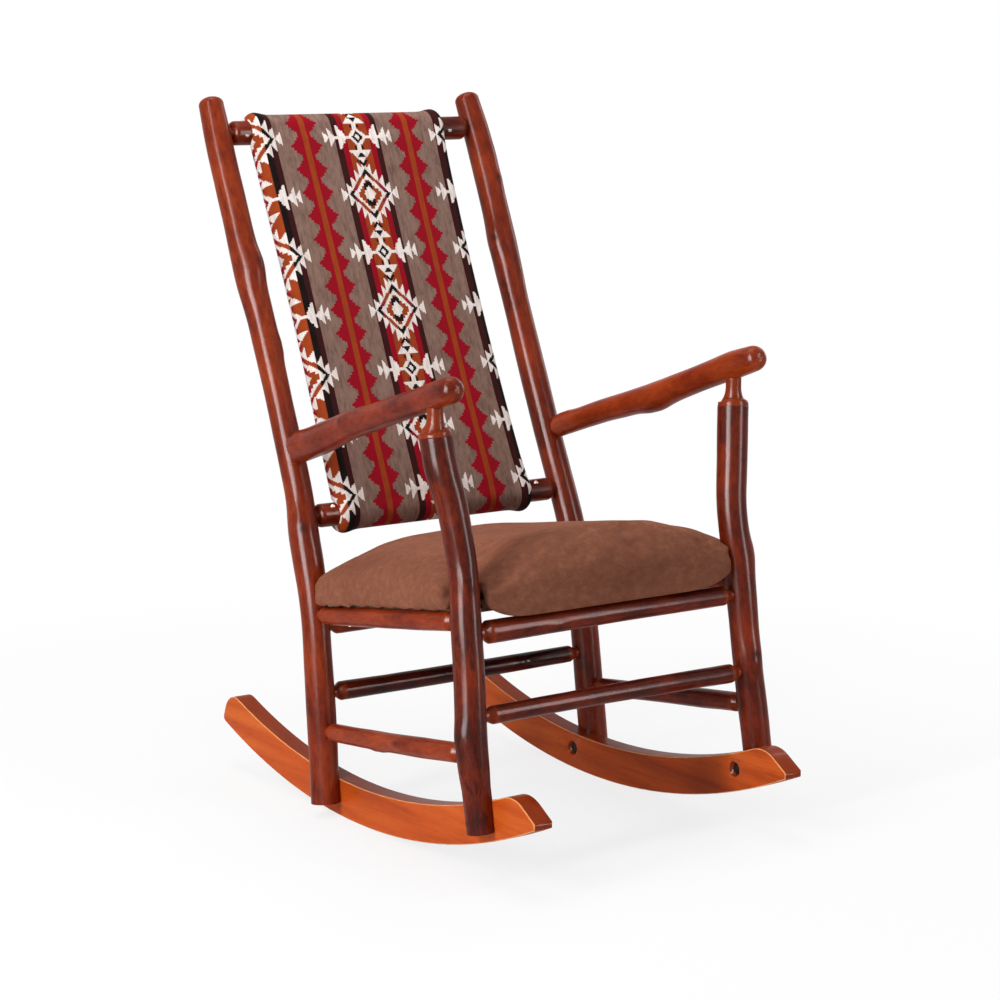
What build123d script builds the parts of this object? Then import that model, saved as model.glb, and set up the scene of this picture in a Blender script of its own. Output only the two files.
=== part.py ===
"""Hickory rocking chair: peeled poles, round tenons, sawn rockers, a loose seat and a padded back.

Millimetres. The chair faces -Y and stands on Z = 0. Right and left are the sitter's: right is -X.
While it is built, Y = 0 is the line on which the rockers touch the floor; at the end the whole chair
is moved so that the origin is on the floor at the middle of its outline.
"""
from build123d import *
from math import radians, sqrt, tan
import os

# ---- rockers -------------------------------------------------------------------------------------
ROLL_RADIUS = 1187.0         # rolling edge
ROCKER_DEPTH = 62.0          # rolling edge to top edge at the middle
ROCKER_TOP_RADIUS = 1140.0   # hollow top edge
ROCKER_THICKNESS = 34.0
ROCKER_TRACK = 518.0         # over the outer faces
ROCKER_FRONT = 496.0         # nose, in front of the line of contact
ROCKER_BACK = 434.0          # tail, behind the line of contact
NOSE_HEIGHT = 10.0           # blunt end of the nose
NOSE_SLOPE = 31.0            # degrees, top of the nose
NOSE_ROUND = 55.0
TAIL_ROUND = 36.0
TAIL_HEEL_ROUND = 10.0
ROCKER_ARRIS = 1.5

# ---- chair frame ---------------------------------------------------------------------------------
FRONT_POST_SET = 334.0       # front posts' axis in front of the line of contact, at the front rail
BACK_POST_SET = 94.0         # back posts' axis behind it, at the back seat rail
RAKE = 8.0                   # degrees, front posts lean back
FOOT_LEAN = 6.6              # degrees, back posts below the seat
BACK_LEAN = 23.8             # degrees, back posts above the bend
BEND_HEIGHT = 382.0
BEND_LENGTH = 150.0
FOOT_SPREAD = 275.5          # half the spacing of the posts' axes at the rockers
ARM_SPREAD = 288.0           # half the spacing of the front posts' shoulders
BACK_SPREAD = 261.0          # half the spacing of the back posts' tops
FRONT_FOOT_HEIGHT = 76.0     # bottom of the cheeks that lap over the rockers
BACK_FOOT_HEIGHT = 22.0
FRONT_SHOULDER_HEIGHT = 672.0
BACK_TOP_HEIGHT = 1144.0
POST_DIAMETER = 48.0
POST_RINGS = 48.0            # spacing of the rings that a post or an arm is drawn through
POST_DOME = 9.0
LAP_GAP = 0.1                # glue line of the lapped foot

# Crooks of the four grown poles: share of the length from the foot up, how far the axis wanders
# outward and backward from the straight, and how much thicker or thinner the pole is there.
FRONT_RIGHT_CROOK = [
    (0.00, -7, 0, -10), (0.19, -3, 0, 1), (0.44, -13, 0, 0), (0.68, -20, 0, -3),
    (0.82, -13, 2, -1), (0.90, -2, 6, 4), (1.00, 1, 8, 2)]
FRONT_LEFT_CROOK = [
    (0.00, 1, 0, -2), (0.18, -4, 0, 0), (0.33, -12, 0, -1), (0.53, -15, 0, 2),
    (0.73, -25, 0, 0), (0.92, -10, 5, 3), (1.00, -3, 7, 2)]
BACK_RIGHT_CROOK = [
    (0.00, 2, 0, -3), (0.10, 0, 0, 1), (0.28, 0, 0, -2), (0.37, 0, 0, 3), (0.45, -10, 0, -2),
    (0.57, -10, 0, -4), (0.69, -9, 0, -2), (0.75, -5, 0, 2), (0.82, -4, 0, -1), (0.93, -2, 0, -2),
    (1.00, -3, 0, -6)]
BACK_LEFT_CROOK = [
    (0.00, -3, 0, 2), (0.12, -5, 0, 1), (0.28, -6, 0, 0), (0.37, -8, 0, -1), (0.45, -9, 0, -1),
    (0.61, -7, 0, -1), (0.70, -5, 0, -2), (0.77, -1, 0, 3), (0.85, 2, 0, -1), (0.93, 4, 0, 1),
    (1.00, 0, 0, -5)]

# ---- rails and stretchers ------------------------------------------------------------------------
TENON_DIAMETER = 19.0
TENON_DEPTH = 32.0           # into the post
TENON_NECK = 5.0             # turned neck left showing
RUNG_CONE = 9.0              # length of the turned cone at each end
RUNG_RINGS = 90.0            # spacing of the rings that a rung is drawn through
GLUE_GAP = 0.1
MORTISE_SPARE = 1.0          # blind mortises are this much deeper than the tenon

SIDE_RAIL_FRONT_HEIGHT = 394.0
SIDE_RAIL_BACK_HEIGHT = 329.0
CROSS_RAIL_DROP = 20.0       # front and back seat rails lie this far under the side rails
FRONT_RAIL_HEIGHT = SIDE_RAIL_FRONT_HEIGHT - CROSS_RAIL_DROP
BACK_RAIL_HEIGHT = SIDE_RAIL_BACK_HEIGHT - CROSS_RAIL_DROP
FRONT_STRETCHER_HEIGHT = 250.0
BACK_STRETCHER_HEIGHT = 200.0
SIDE_STRETCHER_FRONT_HEIGHT = 196.0
SIDE_STRETCHER_BACK_HEIGHT = 140.0
LOW_BACK_RAIL_HEIGHT = 481.0
TOP_BACK_RAIL_HEIGHT = BACK_TOP_HEIGHT - 50.0
SEAT_RAIL_DIAMETER = 32.0
STRETCHER_DIAMETER = 29.5
LOW_BACK_RAIL_DIAMETER = 39.0
TOP_BACK_RAIL_DIAMETER = 41.0

# ---- arms ----------------------------------------------------------------------------------------
ARM_BACK_HEIGHT = 584.0      # axis of the arm at the back post's axis
ARM_DIAMETER = 42.0
ARM_ABOVE_SHOULDER = 59.0    # axis of the arm over the front post's shoulder
ARM_OVERHANG = 48.0          # straight part of the arm in front of the front post
ARM_NOSE_RISE = 14.0         # rise over that overhang
ARM_BACK_BULGE = 12.0        # round back end
ARM_FRONT_BULGE = 16.0       # round front end
ARM_TENON_DIAMETER = 22.0
ARM_TENON_DEPTH = 30.0
ARM_RIGHT_CROOK = [
    (0.00, 0, 0, 7), (0.20, 0, 1, 9), (0.42, 0, 5, 4), (0.70, 1, 2, -1), (1.00, 0, 0, -1)]
ARM_LEFT_CROOK = [
    (0.00, 0, 0, -4), (0.25, 0, 0, -3), (0.48, 0, -4, 0), (0.60, 0, -6, 4), (0.80, 0, -3, 1),
    (1.00, 0, 0, 2)]
POST_TENON_DIAMETER = 25.0   # turned top of the front post, in the arm's underside
POST_TENON_IN_ARM = 26.0
POST_FLARE = 28.0            # waisted flare under that tenon
POST_SHOULDER_EASE = 4.0

# ---- seat ----------------------------------------------------------------------------------------
DECK_THICKNESS = 12.0        # plywood
DECK_OVERHANG = 8.0          # past the side rails' axes
DECK_FRONT = 2.0             # in front of the front posts' axes
DECK_BACK = 4.0              # behind the back posts' axes
DECK_POST_GAP = 4.0
DECK_SEAT_GAP = 0.1          # over the side rails
PAD_THICKNESS = 84.0         # over the deck
PAD_OVERHANG = 12.0          # past the deck's edge
PAD_FRONT = 22.0             # in front of the front posts' axes
PAD_BACK = -2.0              # behind the back posts' axes
PAD_POST_GAP = 2.0
PAD_CROWN = 34.0             # the middle is this much higher than the sides
PAD_ROUND = 24.0
PAD_HEM = 8.0                # the front lip is carried up this far behind the face
SOFT_GAP = 0.4               # between soft goods and what they lie on
SEAT_CLOTH = 1.0             # lining under the deck
SEAT_CLOTH_SET = 3.0         # lining kept inside the rails

# ---- back panel ----------------------------------------------------------------------------------
BACK_PAD_WIDTH = 398.0
BACK_PAD_SHIFT = -8.0        # the cover sits a little nearer the right post
BACK_PAD_WRAP = 10.0         # padding round the two back rails
BACK_PAD_FACE = 27.0         # front of the pad, in front of the rails' axes
BACK_BOARD_THICKNESS = 9.0
BACK_BOARD_REAR = 2.0        # rear of the board, behind the rails' axes
BACK_BOARD_INSET = 8.0       # board inside the cover's edge
BACK_TONGUE = 16.0           # board let into each rail
BACK_TONGUE_EXTRA = 12.0     # tongue wider than the cover, each side
BACK_CLOTH = 1.0             # lining behind the board
BACK_CLOTH_SET = 3.0         # lining kept clear of the rails

# ---- hardware ------------------------------------------------------------------------------------
BOLT_DIAMETER = 8.0
BOLT_GRIP = 28.0             # into the post's cheek
BOLT_HEAD_FLATS = 13.0
BOLT_HEAD_HEIGHT = 5.3
BOLT_POINT = 6.0
WASHER_DIAMETER = 22.0
WASHER_THICKNESS = 1.8
COUNTERBORE_DIAMETER = 25.0
COUNTERBORE_DEPTH = 11.0
BOLT_CLEARANCE = 0.3
NAIL_DIAMETER = 3.0
NAIL_LENGTH = 34.0
NAIL_GAP = 0.05
FOOT_NAIL_LENGTH = 52.0
FOOT_NAIL_BELOW_EDGE = 12.0  # under the rocker's top edge
FOOT_NAIL_OFF_AXIS = 8.0     # in front of the post's axis
SCREW_DIAMETER = 4.2
SCREW_HEAD_DIAMETER = 8.4
SCREW_HEAD_HEIGHT = 2.6
SCREW_GAP = 0.1
SEAT_SCREW_SHARES = 0.25, 0.75
BACK_SCREW_EDGE = 5.0        # from the end of the board's tongue
SEAT_SCREW_BITE = 9.0        # into the deck
BACK_SCREW_LENGTH = 32.0

SIDES = {"right": -1, "left": 1}
TINY = 1e-6


# ---- grown poles ---------------------------------------------------------------------------------
def between(a, b, share):
    """The point that lies a share of the way from a to b."""
    return a + (b - a) * share


def interpolate(stations, height):
    """Axis point and radius of a pole at a height, from its (point, radius) stations."""
    for (low, low_radius), (high, high_radius) in zip(stations, stations[1:]):
        if height <= high.Z or high is stations[-1][0]:
            share = (height - low.Z) / (high.Z - low.Z)
            return between(low, high, share), low_radius + (high_radius - low_radius) * share


def axis_way(stations, height):
    """Direction of a pole's axis at a height."""
    for (low, _), (high, _) in zip(stations, stations[1:]):
        if height <= high.Z or high is stations[-1][0]:
            return (high - low).normalized()


def eased(table, share):
    """Values of a crook table at any share of the length, without corners at its rows."""
    for before, after in zip(table, table[1:]):
        if share <= after[0]:
            part = (share - before[0]) / (after[0] - before[0])
            part *= part * (3 - 2 * part)
            return [low + (high - low) * part for low, high in zip(before[1:], after[1:])]


def shares(length, spacing):
    """Shares of a length at which a pole gets its rings."""
    count = round(length / spacing)
    return [step / count for step in range(count + 1)]


def directions(stations):
    """Direction of a pole's axis at each of its stations."""
    points = [point for point, radius in stations]
    ahead = points[1:] + points[-1:]
    behind = points[:1] + points[:-1]
    return [(b - a).normalized() for a, b in zip(behind, ahead)]


def pole(stations, x_dir):
    """Pole through its stations."""
    rings = [Plane(origin=point, x_dir=x_dir, z_dir=way) * Circle(radius)
             for (point, radius), way in zip(stations, directions(stations))]
    return loft(rings, ruled=True)


def round_end(origin, way, radius, bulge):
    """Rubbed-over end of a pole."""
    outline = [Line((0, 0), (radius, 0)),
               EllipticalCenterArc((0, 0), radius, bulge, start_angle=0, arc_size=90),
               Line((0, bulge), (0, 0))]
    cap = revolve(Plane.XZ * make_face(outline), Axis.Z)
    return Plane(origin=origin, z_dir=way) * cap


def turned_end(origin, way, radius, tenon_radius, cone, tenon):
    """Cone and round tenon turned on the end of a pole."""
    outline = Polyline((0, 0), (radius, 0), (tenon_radius, cone), (tenon_radius, cone + tenon),
                       (0, cone + tenon), close=True)
    return Plane(origin=origin, z_dir=way) * revolve(Plane.XZ * make_face(outline), Axis.Z)


def rod(start, end, diameter):
    """Plain cylinder from one point to another."""
    reach = end - start
    body = Cylinder(diameter / 2, reach.length, align=(Align.CENTER, Align.CENTER, Align.MIN))
    return Plane(origin=start, z_dir=reach.normalized()) * body


def screw(head, tip, gap=0):
    """Flat-headed wood screw, or the hole it is driven in when a gap is given."""
    way = (tip - head).normalized()
    start = head - way * gap
    shank = rod(start, tip + way * gap, SCREW_DIAMETER + 2 * gap)
    return shank + rod(start, head + way * (SCREW_HEAD_HEIGHT + gap), SCREW_HEAD_DIAMETER + 2 * gap)


def nail(head, tip, gap=0):
    """Headless wire nail, or its hole when a gap is given."""
    way = (tip - head).normalized()
    return rod(head - way * gap * 20, tip + way * gap, NAIL_DIAMETER + 2 * gap)


# ---- posts ---------------------------------------------------------------------------------------
def front_post_stations(side, crook):
    stations = []
    for share in shares(FRONT_SHOULDER_HEIGHT - FRONT_FOOT_HEIGHT, POST_RINGS):
        outward, backward, girth = eased(crook, share)
        height = FRONT_FOOT_HEIGHT + (FRONT_SHOULDER_HEIGHT - FRONT_FOOT_HEIGHT) * share
        spread = FOOT_SPREAD + (ARM_SPREAD - FOOT_SPREAD) * share + outward
        y = -FRONT_POST_SET + tan(radians(RAKE)) * (height - FRONT_RAIL_HEIGHT) + backward
        stations.append((Vector(side * spread, y, height), (POST_DIAMETER + girth) / 2))
    return stations


def back_post_stations(side, crook):
    stations = []
    foot_slope, back_slope = tan(radians(FOOT_LEAN)), tan(radians(BACK_LEAN))
    for share in shares(BACK_TOP_HEIGHT - BACK_FOOT_HEIGHT, POST_RINGS):
        outward, backward, girth = eased(crook, share)
        height = BACK_FOOT_HEIGHT + (BACK_TOP_HEIGHT - BACK_FOOT_HEIGHT) * share
        spread = FOOT_SPREAD + (BACK_SPREAD - FOOT_SPREAD) * share + outward
        # the steam-bent stretch is an arc between the two straight ones
        past = height - BEND_HEIGHT + BEND_LENGTH / 2
        bent = min(max(past, 0), BEND_LENGTH)
        turned = bent ** 2 / (2 * BEND_LENGTH) + max(past - BEND_LENGTH, 0)
        y = BACK_POST_SET + foot_slope * (height - BACK_RAIL_HEIGHT)
        y += (back_slope - foot_slope) * turned + backward
        stations.append((Vector(side * spread, y, height), (POST_DIAMETER + girth) / 2))
    return stations


def front_post_top(stations):
    """Rounded shoulder, waisted flare and tenon at the top of a front post."""
    point, radius = stations[-1]
    neck = POST_TENON_DIAMETER / 2
    top = ARM_ABOVE_SHOULDER - ARM_DIAMETER / 2 + POST_TENON_IN_ARM
    flare_start = (radius - POST_SHOULDER_EASE, POST_SHOULDER_EASE)
    flare_middle = (neck + (radius - neck) * 0.22, POST_FLARE * 0.5)
    outline = [Line((0, 0), (radius, 0)),
               Line((radius, 0), flare_start),
               ThreePointArc(flare_start, flare_middle, (neck, POST_FLARE)),
               Line((neck, POST_FLARE), (neck, top)),
               Line((neck, top), (0, top)),
               Line((0, top), (0, 0))]
    cap = revolve(Plane.XZ * make_face(outline), Axis.Z)
    return Plane(origin=point, z_dir=Vector(0, 0, 1)) * cap


# ---- rockers -------------------------------------------------------------------------------------
def rolling_edge(y):
    return ROLL_RADIUS - sqrt(ROLL_RADIUS ** 2 - y ** 2)


def top_edge(y):
    return ROCKER_DEPTH + ROCKER_TOP_RADIUS - sqrt(ROCKER_TOP_RADIUS ** 2 - y ** 2)


def nose_corner():
    """Where the sloping top of the nose would meet the hollow top edge, found by halving."""
    tip_z = rolling_edge(-ROCKER_FRONT) + NOSE_HEIGHT
    low, high = -ROCKER_FRONT, 0.0
    while high - low > TINY:
        middle = (low + high) / 2
        slope_z = tip_z + tan(radians(NOSE_SLOPE)) * (middle + ROCKER_FRONT)
        low, high = (middle, high) if slope_z < top_edge(middle) else (low, middle)
    return low, top_edge(low)


def rocker(side):
    """Sawn board with a rolling edge, a blunt sloping nose and a rounded tail."""
    heel = (ROCKER_BACK, rolling_edge(ROCKER_BACK))
    toe = (-ROCKER_FRONT, rolling_edge(-ROCKER_FRONT))
    toe_top = (-ROCKER_FRONT, toe[1] + NOSE_HEIGHT)
    peak = nose_corner()
    # the tail is cut square to the rolling edge
    tail_y = ROCKER_BACK - ROCKER_DEPTH * ROCKER_BACK / ROLL_RADIUS
    tail = (tail_y, top_edge(tail_y))
    outline = make_face([
        ThreePointArc(toe, (0, 0), heel),
        Line(heel, tail),
        ThreePointArc(tail, (0, ROCKER_DEPTH), peak),
        Line(peak, toe_top),
        Line(toe_top, toe)])
    for corner, radius in ((peak, NOSE_ROUND), (tail, TAIL_ROUND), (heel, TAIL_HEEL_ROUND)):
        nearest = outline.vertices().sort_by_distance(Vector(*corner, 0))[0]
        outline = fillet(nearest, radius)
    outer = side * ROCKER_TRACK / 2
    board = extrude(Plane.YZ * outline, ROCKER_THICKNESS)
    board = Location((min(outer, outer - side * ROCKER_THICKNESS), 0, 0)) * board
    flats = board.faces().filter_by(Axis.X)
    return chamfer(flats.edges(), ROCKER_ARRIS)


def foot_cut(side):
    """Everything under the rocker's top edge and inside its outer face: the notch in a post's foot."""
    reach = ROCKER_FRONT + ROCKER_BACK
    block = Box(POST_DIAMETER * 2, reach * 2, ROCKER_TOP_RADIUS,
                align=(Align.MIN if side < 0 else Align.MAX, Align.CENTER, Align.CENTER))
    block = Location((side * (ROCKER_TRACK / 2 + LAP_GAP), 0, 0)) * block
    hollow = Rot(0, 90, 0) * Cylinder(ROCKER_TOP_RADIUS - LAP_GAP, POST_DIAMETER * 12)
    return block - Location((0, 0, ROCKER_DEPTH + ROCKER_TOP_RADIUS)) * hollow


# ---- rungs: every rail and stretcher -------------------------------------------------------------
class Rung:
    """A pole with a turned tenon at each end, between the axes of two posts."""

    def __init__(self, posts, heights, diameter, swell, bow):
        (self.start, start_radius), (self.end, end_radius) = [
            interpolate(post, height) for post, height in zip(posts, heights)]
        self.way = (self.end - self.start).normalized()
        self.radii = start_radius, end_radius
        self.diameter = diameter
        self.swell = [(step / (len(swell) - 1), extra) for step, extra in enumerate(swell)]
        self.thickest = diameter + max(swell)
        self.bow = bow
        self.tenon_radius = TENON_DIAMETER / 2

    def ends(self):
        """(post axis point, way into the post, post radius) for each end."""
        return ((self.start, -self.way, self.radii[0]), (self.end, self.way, self.radii[1]))

    def solid(self):
        waist = TENON_NECK + RUNG_CONE
        (a, into_a, radius_a), (b, into_b, radius_b) = self.ends()
        first = a - into_a * (radius_a + waist)
        last = b - into_b * (radius_b + waist)
        stations = []
        for share in shares((last - first).length, RUNG_RINGS):
            sag = self.bow * (4 * share * (1 - share))
            swell, = eased(self.swell, share)
            stations.append((between(first, last, share) + sag, (self.diameter + swell) / 2))
        upright = Vector(0, 0, 1)
        rings = [Plane(origin=point, x_dir=upright, z_dir=self.way) * Circle(radius)
                 for point, radius in stations]
        body = loft(rings, ruled=True)
        tenon = TENON_NECK + TENON_DEPTH
        for (point, radius), way in ((stations[0], into_a), (stations[-1], into_b)):
            body += turned_end(point, way, radius, self.tenon_radius, RUNG_CONE, tenon)
        return body

    def mortises(self):
        """The holes that take this rung's tenons, one per post."""
        holes = []
        for axis_point, into, post_radius in self.ends():
            mouth = axis_point - into * (post_radius + TENON_NECK)
            floor = axis_point - into * (post_radius - TENON_DEPTH - MORTISE_SPARE)
            holes.append(rod(mouth, floor, TENON_DIAMETER + 2 * GLUE_GAP))
        return holes

    def centre(self, share):
        """Point on the bowed centre line between the two posts' axes."""
        return between(self.start, self.end, share) + self.bow * (4 * share * (1 - share))

    def nail(self, end, stations):
        """Head and tip of the nail that pins a tenon, driven from behind or from inside the chair."""
        axis_point, into, post_radius = self.ends()[end]
        across = axis_way(stations, axis_point.Z).cross(into).normalized()
        hidden = Vector(-axis_point.X, TENON_DIAMETER * 10, 0)
        if across.dot(hidden) < 0:
            across = -across
        off_axis = post_radius - TENON_DEPTH / 2
        middle = axis_point - into * off_axis
        face = sqrt(post_radius ** 2 - off_axis ** 2)
        return middle + across * face, middle + across * (face - NAIL_LENGTH)


# ---- the four posts, their axes first because everything is hung on them --------------------------
post_axes = {
    "front_post_right": front_post_stations(-1, FRONT_RIGHT_CROOK),
    "front_post_left": front_post_stations(1, FRONT_LEFT_CROOK),
    "back_post_right": back_post_stations(-1, BACK_RIGHT_CROOK),
    "back_post_left": back_post_stations(1, BACK_LEFT_CROOK)}
front_pair = post_axes["front_post_right"], post_axes["front_post_left"]
back_pair = post_axes["back_post_right"], post_axes["back_post_left"]

rungs = {
    "seat_rail_front": Rung(front_pair, [FRONT_RAIL_HEIGHT] * 2, SEAT_RAIL_DIAMETER,
                            (4, 3, 1, 0, -1), Vector(0, 0, 1)),
    "seat_rail_back": Rung(back_pair, [BACK_RAIL_HEIGHT] * 2, SEAT_RAIL_DIAMETER,
                           (-1, 0, 0, 0, -1), Vector(0, 2, 0)),
    "stretcher_front": Rung(front_pair, [FRONT_STRETCHER_HEIGHT] * 2, STRETCHER_DIAMETER,
                            (-1, -1, 0, 0, 1), Vector(0, -2, 2)),
    "stretcher_back": Rung(back_pair, [BACK_STRETCHER_HEIGHT] * 2, STRETCHER_DIAMETER,
                           (2, 1, 1, 0, -1), Vector(0, 0, -1)),
    "back_rail_bottom": Rung(back_pair, [LOW_BACK_RAIL_HEIGHT] * 2, LOW_BACK_RAIL_DIAMETER,
                             (-1, 0, 0, 0, 1), Vector(0, 0, 0)),
    "back_rail_top": Rung(back_pair, [TOP_BACK_RAIL_HEIGHT] * 2, TOP_BACK_RAIL_DIAMETER,
                          (2, 1, 0, 0, -2), Vector(0, 0, 0))}
for name, side in SIDES.items():
    pair = post_axes["front_post_" + name], post_axes["back_post_" + name]
    rungs["seat_rail_" + name] = Rung(
        pair, (SIDE_RAIL_FRONT_HEIGHT, SIDE_RAIL_BACK_HEIGHT), SEAT_RAIL_DIAMETER,
        (-1, 0, 0, -1, -2), Vector(side * 2, 0, 0))
    rungs["stretcher_" + name] = Rung(
        pair, (SIDE_STRETCHER_FRONT_HEIGHT, SIDE_STRETCHER_BACK_HEIGHT), STRETCHER_DIAMETER,
        (2, 3, 1, 1, 0), Vector(side * 3, 0, -1))

nodes = {name: rung.solid() for name, rung in rungs.items()}

# ---- arms ----------------------------------------------------------------------------------------
arm_axes = {}
for name, crook in (("right", ARM_RIGHT_CROOK), ("left", ARM_LEFT_CROOK)):
    post_point, post_radius = interpolate(post_axes["back_post_" + name], ARM_BACK_HEIGHT)
    shoulder = post_axes["front_post_" + name][-1][0]
    over_post = shoulder + Vector(0, 0, ARM_ABOVE_SHOULDER)
    into_post = (post_point - over_post).normalized()
    back_end = post_point - into_post * (post_radius + ARM_BACK_BULGE * 0.5)
    outward = Vector(SIDES[name], 0, 0)
    stations = []
    for share in shares((over_post - back_end).length, POST_RINGS):
        out, up, girth = eased(crook, share)
        wander = outward * out + Vector(0, 0, up)
        stations.append((between(back_end, over_post, share) + wander, (ARM_DIAMETER + girth) / 2))
    forward = Vector(over_post.X - back_end.X, over_post.Y - back_end.Y, 0).normalized()
    tip = over_post + forward * ARM_OVERHANG + Vector(0, 0, ARM_NOSE_RISE)
    stations.append((tip, (ARM_DIAMETER - 4) / 2))
    arm_axes[name] = stations, into_post, post_point, post_radius
    ways = directions(stations)
    arm = pole(stations, (0, 0, 1))
    arm += round_end(stations[0][0], -ways[0], stations[0][1], ARM_BACK_BULGE)
    arm += round_end(tip, ways[-1], stations[-1][1], ARM_FRONT_BULGE)
    tenon_end = post_point - into_post * (post_radius - ARM_TENON_DEPTH)
    arm += rod(stations[0][0], tenon_end, ARM_TENON_DIAMETER)
    # the back end is scribed to the post it butts against
    shell = pole([ring for ring in post_axes["back_post_" + name]
                  if abs(ring[0].Z - ARM_BACK_HEIGHT) < 2 * POST_RINGS], (1, 0, 0))
    arm -= shell - rod(stations[0][0], tenon_end, ARM_TENON_DIAMETER)
    nodes["arm_" + name] = arm

# ---- posts, cut for everything that enters them ---------------------------------------------------
crossings = {
    "front_post_right": [("seat_rail_front", 0), ("stretcher_front", 0), ("seat_rail_right", 0),
                         ("stretcher_right", 0)],
    "front_post_left": [("seat_rail_front", 1), ("stretcher_front", 1), ("seat_rail_left", 0),
                        ("stretcher_left", 0)],
    "back_post_right": [("seat_rail_back", 0), ("stretcher_back", 0), ("back_rail_bottom", 0),
                        ("back_rail_top", 0), ("seat_rail_right", 1), ("stretcher_right", 1)],
    "back_post_left": [("seat_rail_back", 1), ("stretcher_back", 1), ("back_rail_bottom", 1),
                       ("back_rail_top", 1), ("seat_rail_left", 1), ("stretcher_left", 1)]}
mortises = {name: rung.mortises() for name, rung in rungs.items()}
for post_name, entries in crossings.items():
    side = SIDES[post_name.rsplit("_", 1)[1]]
    stations = post_axes[post_name]
    post = pole(stations, (1, 0, 0))
    if post_name.startswith("front"):
        post += front_post_top(stations)
    else:
        post += round_end(stations[-1][0], directions(stations)[-1], stations[-1][1], POST_DOME)
    post -= foot_cut(side)
    for rung_name, end in entries:
        post -= mortises[rung_name][end]
    nodes[post_name] = post

for name, (stations, into_post, post_point, post_radius) in arm_axes.items():
    hole_end = post_point - into_post * (post_radius - ARM_TENON_DEPTH - MORTISE_SPARE)
    nodes["back_post_" + name] -= rod(stations[0][0], hole_end, ARM_TENON_DIAMETER + 2 * GLUE_GAP)
    shoulder = post_axes["front_post_" + name][-1][0]
    under_arm = ARM_ABOVE_SHOULDER - ARM_DIAMETER / 2
    socket_top = shoulder + Vector(0, 0, under_arm + POST_TENON_IN_ARM + MORTISE_SPARE)
    socket_bottom = shoulder + Vector(0, 0, under_arm - ARM_DIAMETER / 2)
    nodes["arm_" + name] -= rod(socket_bottom, socket_top, POST_TENON_DIAMETER + 2 * GLUE_GAP)

# ---- rockers and the lag bolts that hold them to the posts ----------------------------------------
bolts = []
washers = []
hex_radius = BOLT_HEAD_FLATS / sqrt(3)
for name, side in SIDES.items():
    board = rocker(side)
    inner = ROCKER_TRACK / 2 - ROCKER_THICKNESS
    for post_name in ("front_post_" + name, "back_post_" + name):
        stations = post_axes[post_name]
        foot_y = stations[0][0].Y
        height = (rolling_edge(foot_y) + top_edge(foot_y)) / 2 + BOLT_DIAMETER / 2
        axis_point, _ = interpolate(stations, height)
        place = Vector(0, axis_point.Y, height)

        def at(reach):
            return place + Vector(side * reach, 0, 0)

        bore = inner + COUNTERBORE_DEPTH
        seat = bore - WASHER_THICKNESS
        tip = ROCKER_TRACK / 2 + BOLT_GRIP
        board -= rod(at(inner - 1), at(bore), COUNTERBORE_DIAMETER)
        board -= rod(at(inner), at(ROCKER_TRACK / 2 + 1), BOLT_DIAMETER + 2 * BOLT_CLEARANCE)
        washer = rod(at(seat), at(bore), WASHER_DIAMETER)
        washers.append(washer - rod(at(seat - 1), at(bore + 1), BOLT_DIAMETER + 2 * BOLT_CLEARANCE))
        head = extrude(RegularPolygon(hex_radius, 6), BOLT_HEAD_HEIGHT)
        head = Plane(origin=at(seat - BOLT_HEAD_HEIGHT), z_dir=(side, 0, 0)) * head
        shank = rod(at(seat - TINY), at(tip - BOLT_POINT), BOLT_DIAMETER)
        point = turned_end(at(tip - BOLT_POINT), Vector(side, 0, 0), BOLT_DIAMETER / 2,
                           BOLT_DIAMETER / 8, BOLT_POINT - 1, 1)
        bolts.append(head + shank + point)
        pilot = rod(at(ROCKER_TRACK / 2 - 1), at(tip + MORTISE_SPARE), BOLT_DIAMETER + 2 * GLUE_GAP)
        nodes[post_name] -= pilot
    nodes["rocker_" + name] = board
nodes["rocker_bolts"] = Compound(bolts)
nodes["rocker_washers"] = Compound(washers)

# ---- seat: a plywood deck on the side rails under one thick pad -----------------------------------
right_rail = rungs["seat_rail_right"]
left_rail = rungs["seat_rail_left"]
front_middle = between(right_rail.start, left_rail.start, 0.5)
back_middle = between(right_rail.end, left_rail.end, 0.5)
seat_way = (back_middle - front_middle).normalized()
seat_up = Vector(1, 0, 0).cross(seat_way).normalized()
seat_length = (back_middle - front_middle).length
rail_top = right_rail.thickest / 2 + DECK_SEAT_GAP
seat_plane = Plane(origin=front_middle + seat_up * rail_top, x_dir=(1, 0, 0), z_dir=seat_up)
front_half = (left_rail.start.X - right_rail.start.X) / 2
back_half = (left_rail.end.X - right_rail.end.X) / 2


def inner_reach(posts, low, high):
    """Least distance from the middle plane to either post of a pair, between two heights."""
    reach = []
    for stations in posts:
        heights = [low, high] + [point.Z for point, _ in stations if low < point.Z < high]
        for height in heights:
            point, radius = interpolate(stations, height)
            reach.append(abs(point.X) - radius)
    return min(reach)


def seat_slab(edge, front, back, bottom, top, post_gap):
    """Slab in the seat plane: past the side rails by edge, cut away round all four posts."""
    outline = Polyline((-front_half - edge, -front), (front_half + edge, -front),
                       (back_half + edge, seat_length + back), (-back_half - edge, seat_length + back),
                       close=True)
    slab = Location((0, 0, bottom)) * extrude(make_face(outline), top - bottom)
    depth = POST_DIAMETER / 2 + post_gap + 1
    for posts, height, y, away in (
            (front_pair, SIDE_RAIL_FRONT_HEIGHT, depth, Align.MAX),
            (back_pair, SIDE_RAIL_BACK_HEIGHT, seat_length - depth, Align.MIN)):
        near = inner_reach(posts, height, height + rail_top + top) - post_gap
        for side in SIDES.values():
            block = Box(POST_DIAMETER * 2, seat_length / 2, top - bottom + 2,
                        align=(Align.MIN if side > 0 else Align.MAX, away, Align.MIN))
            slab -= Location((side * near, y, bottom - 1)) * block
    return slab


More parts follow.
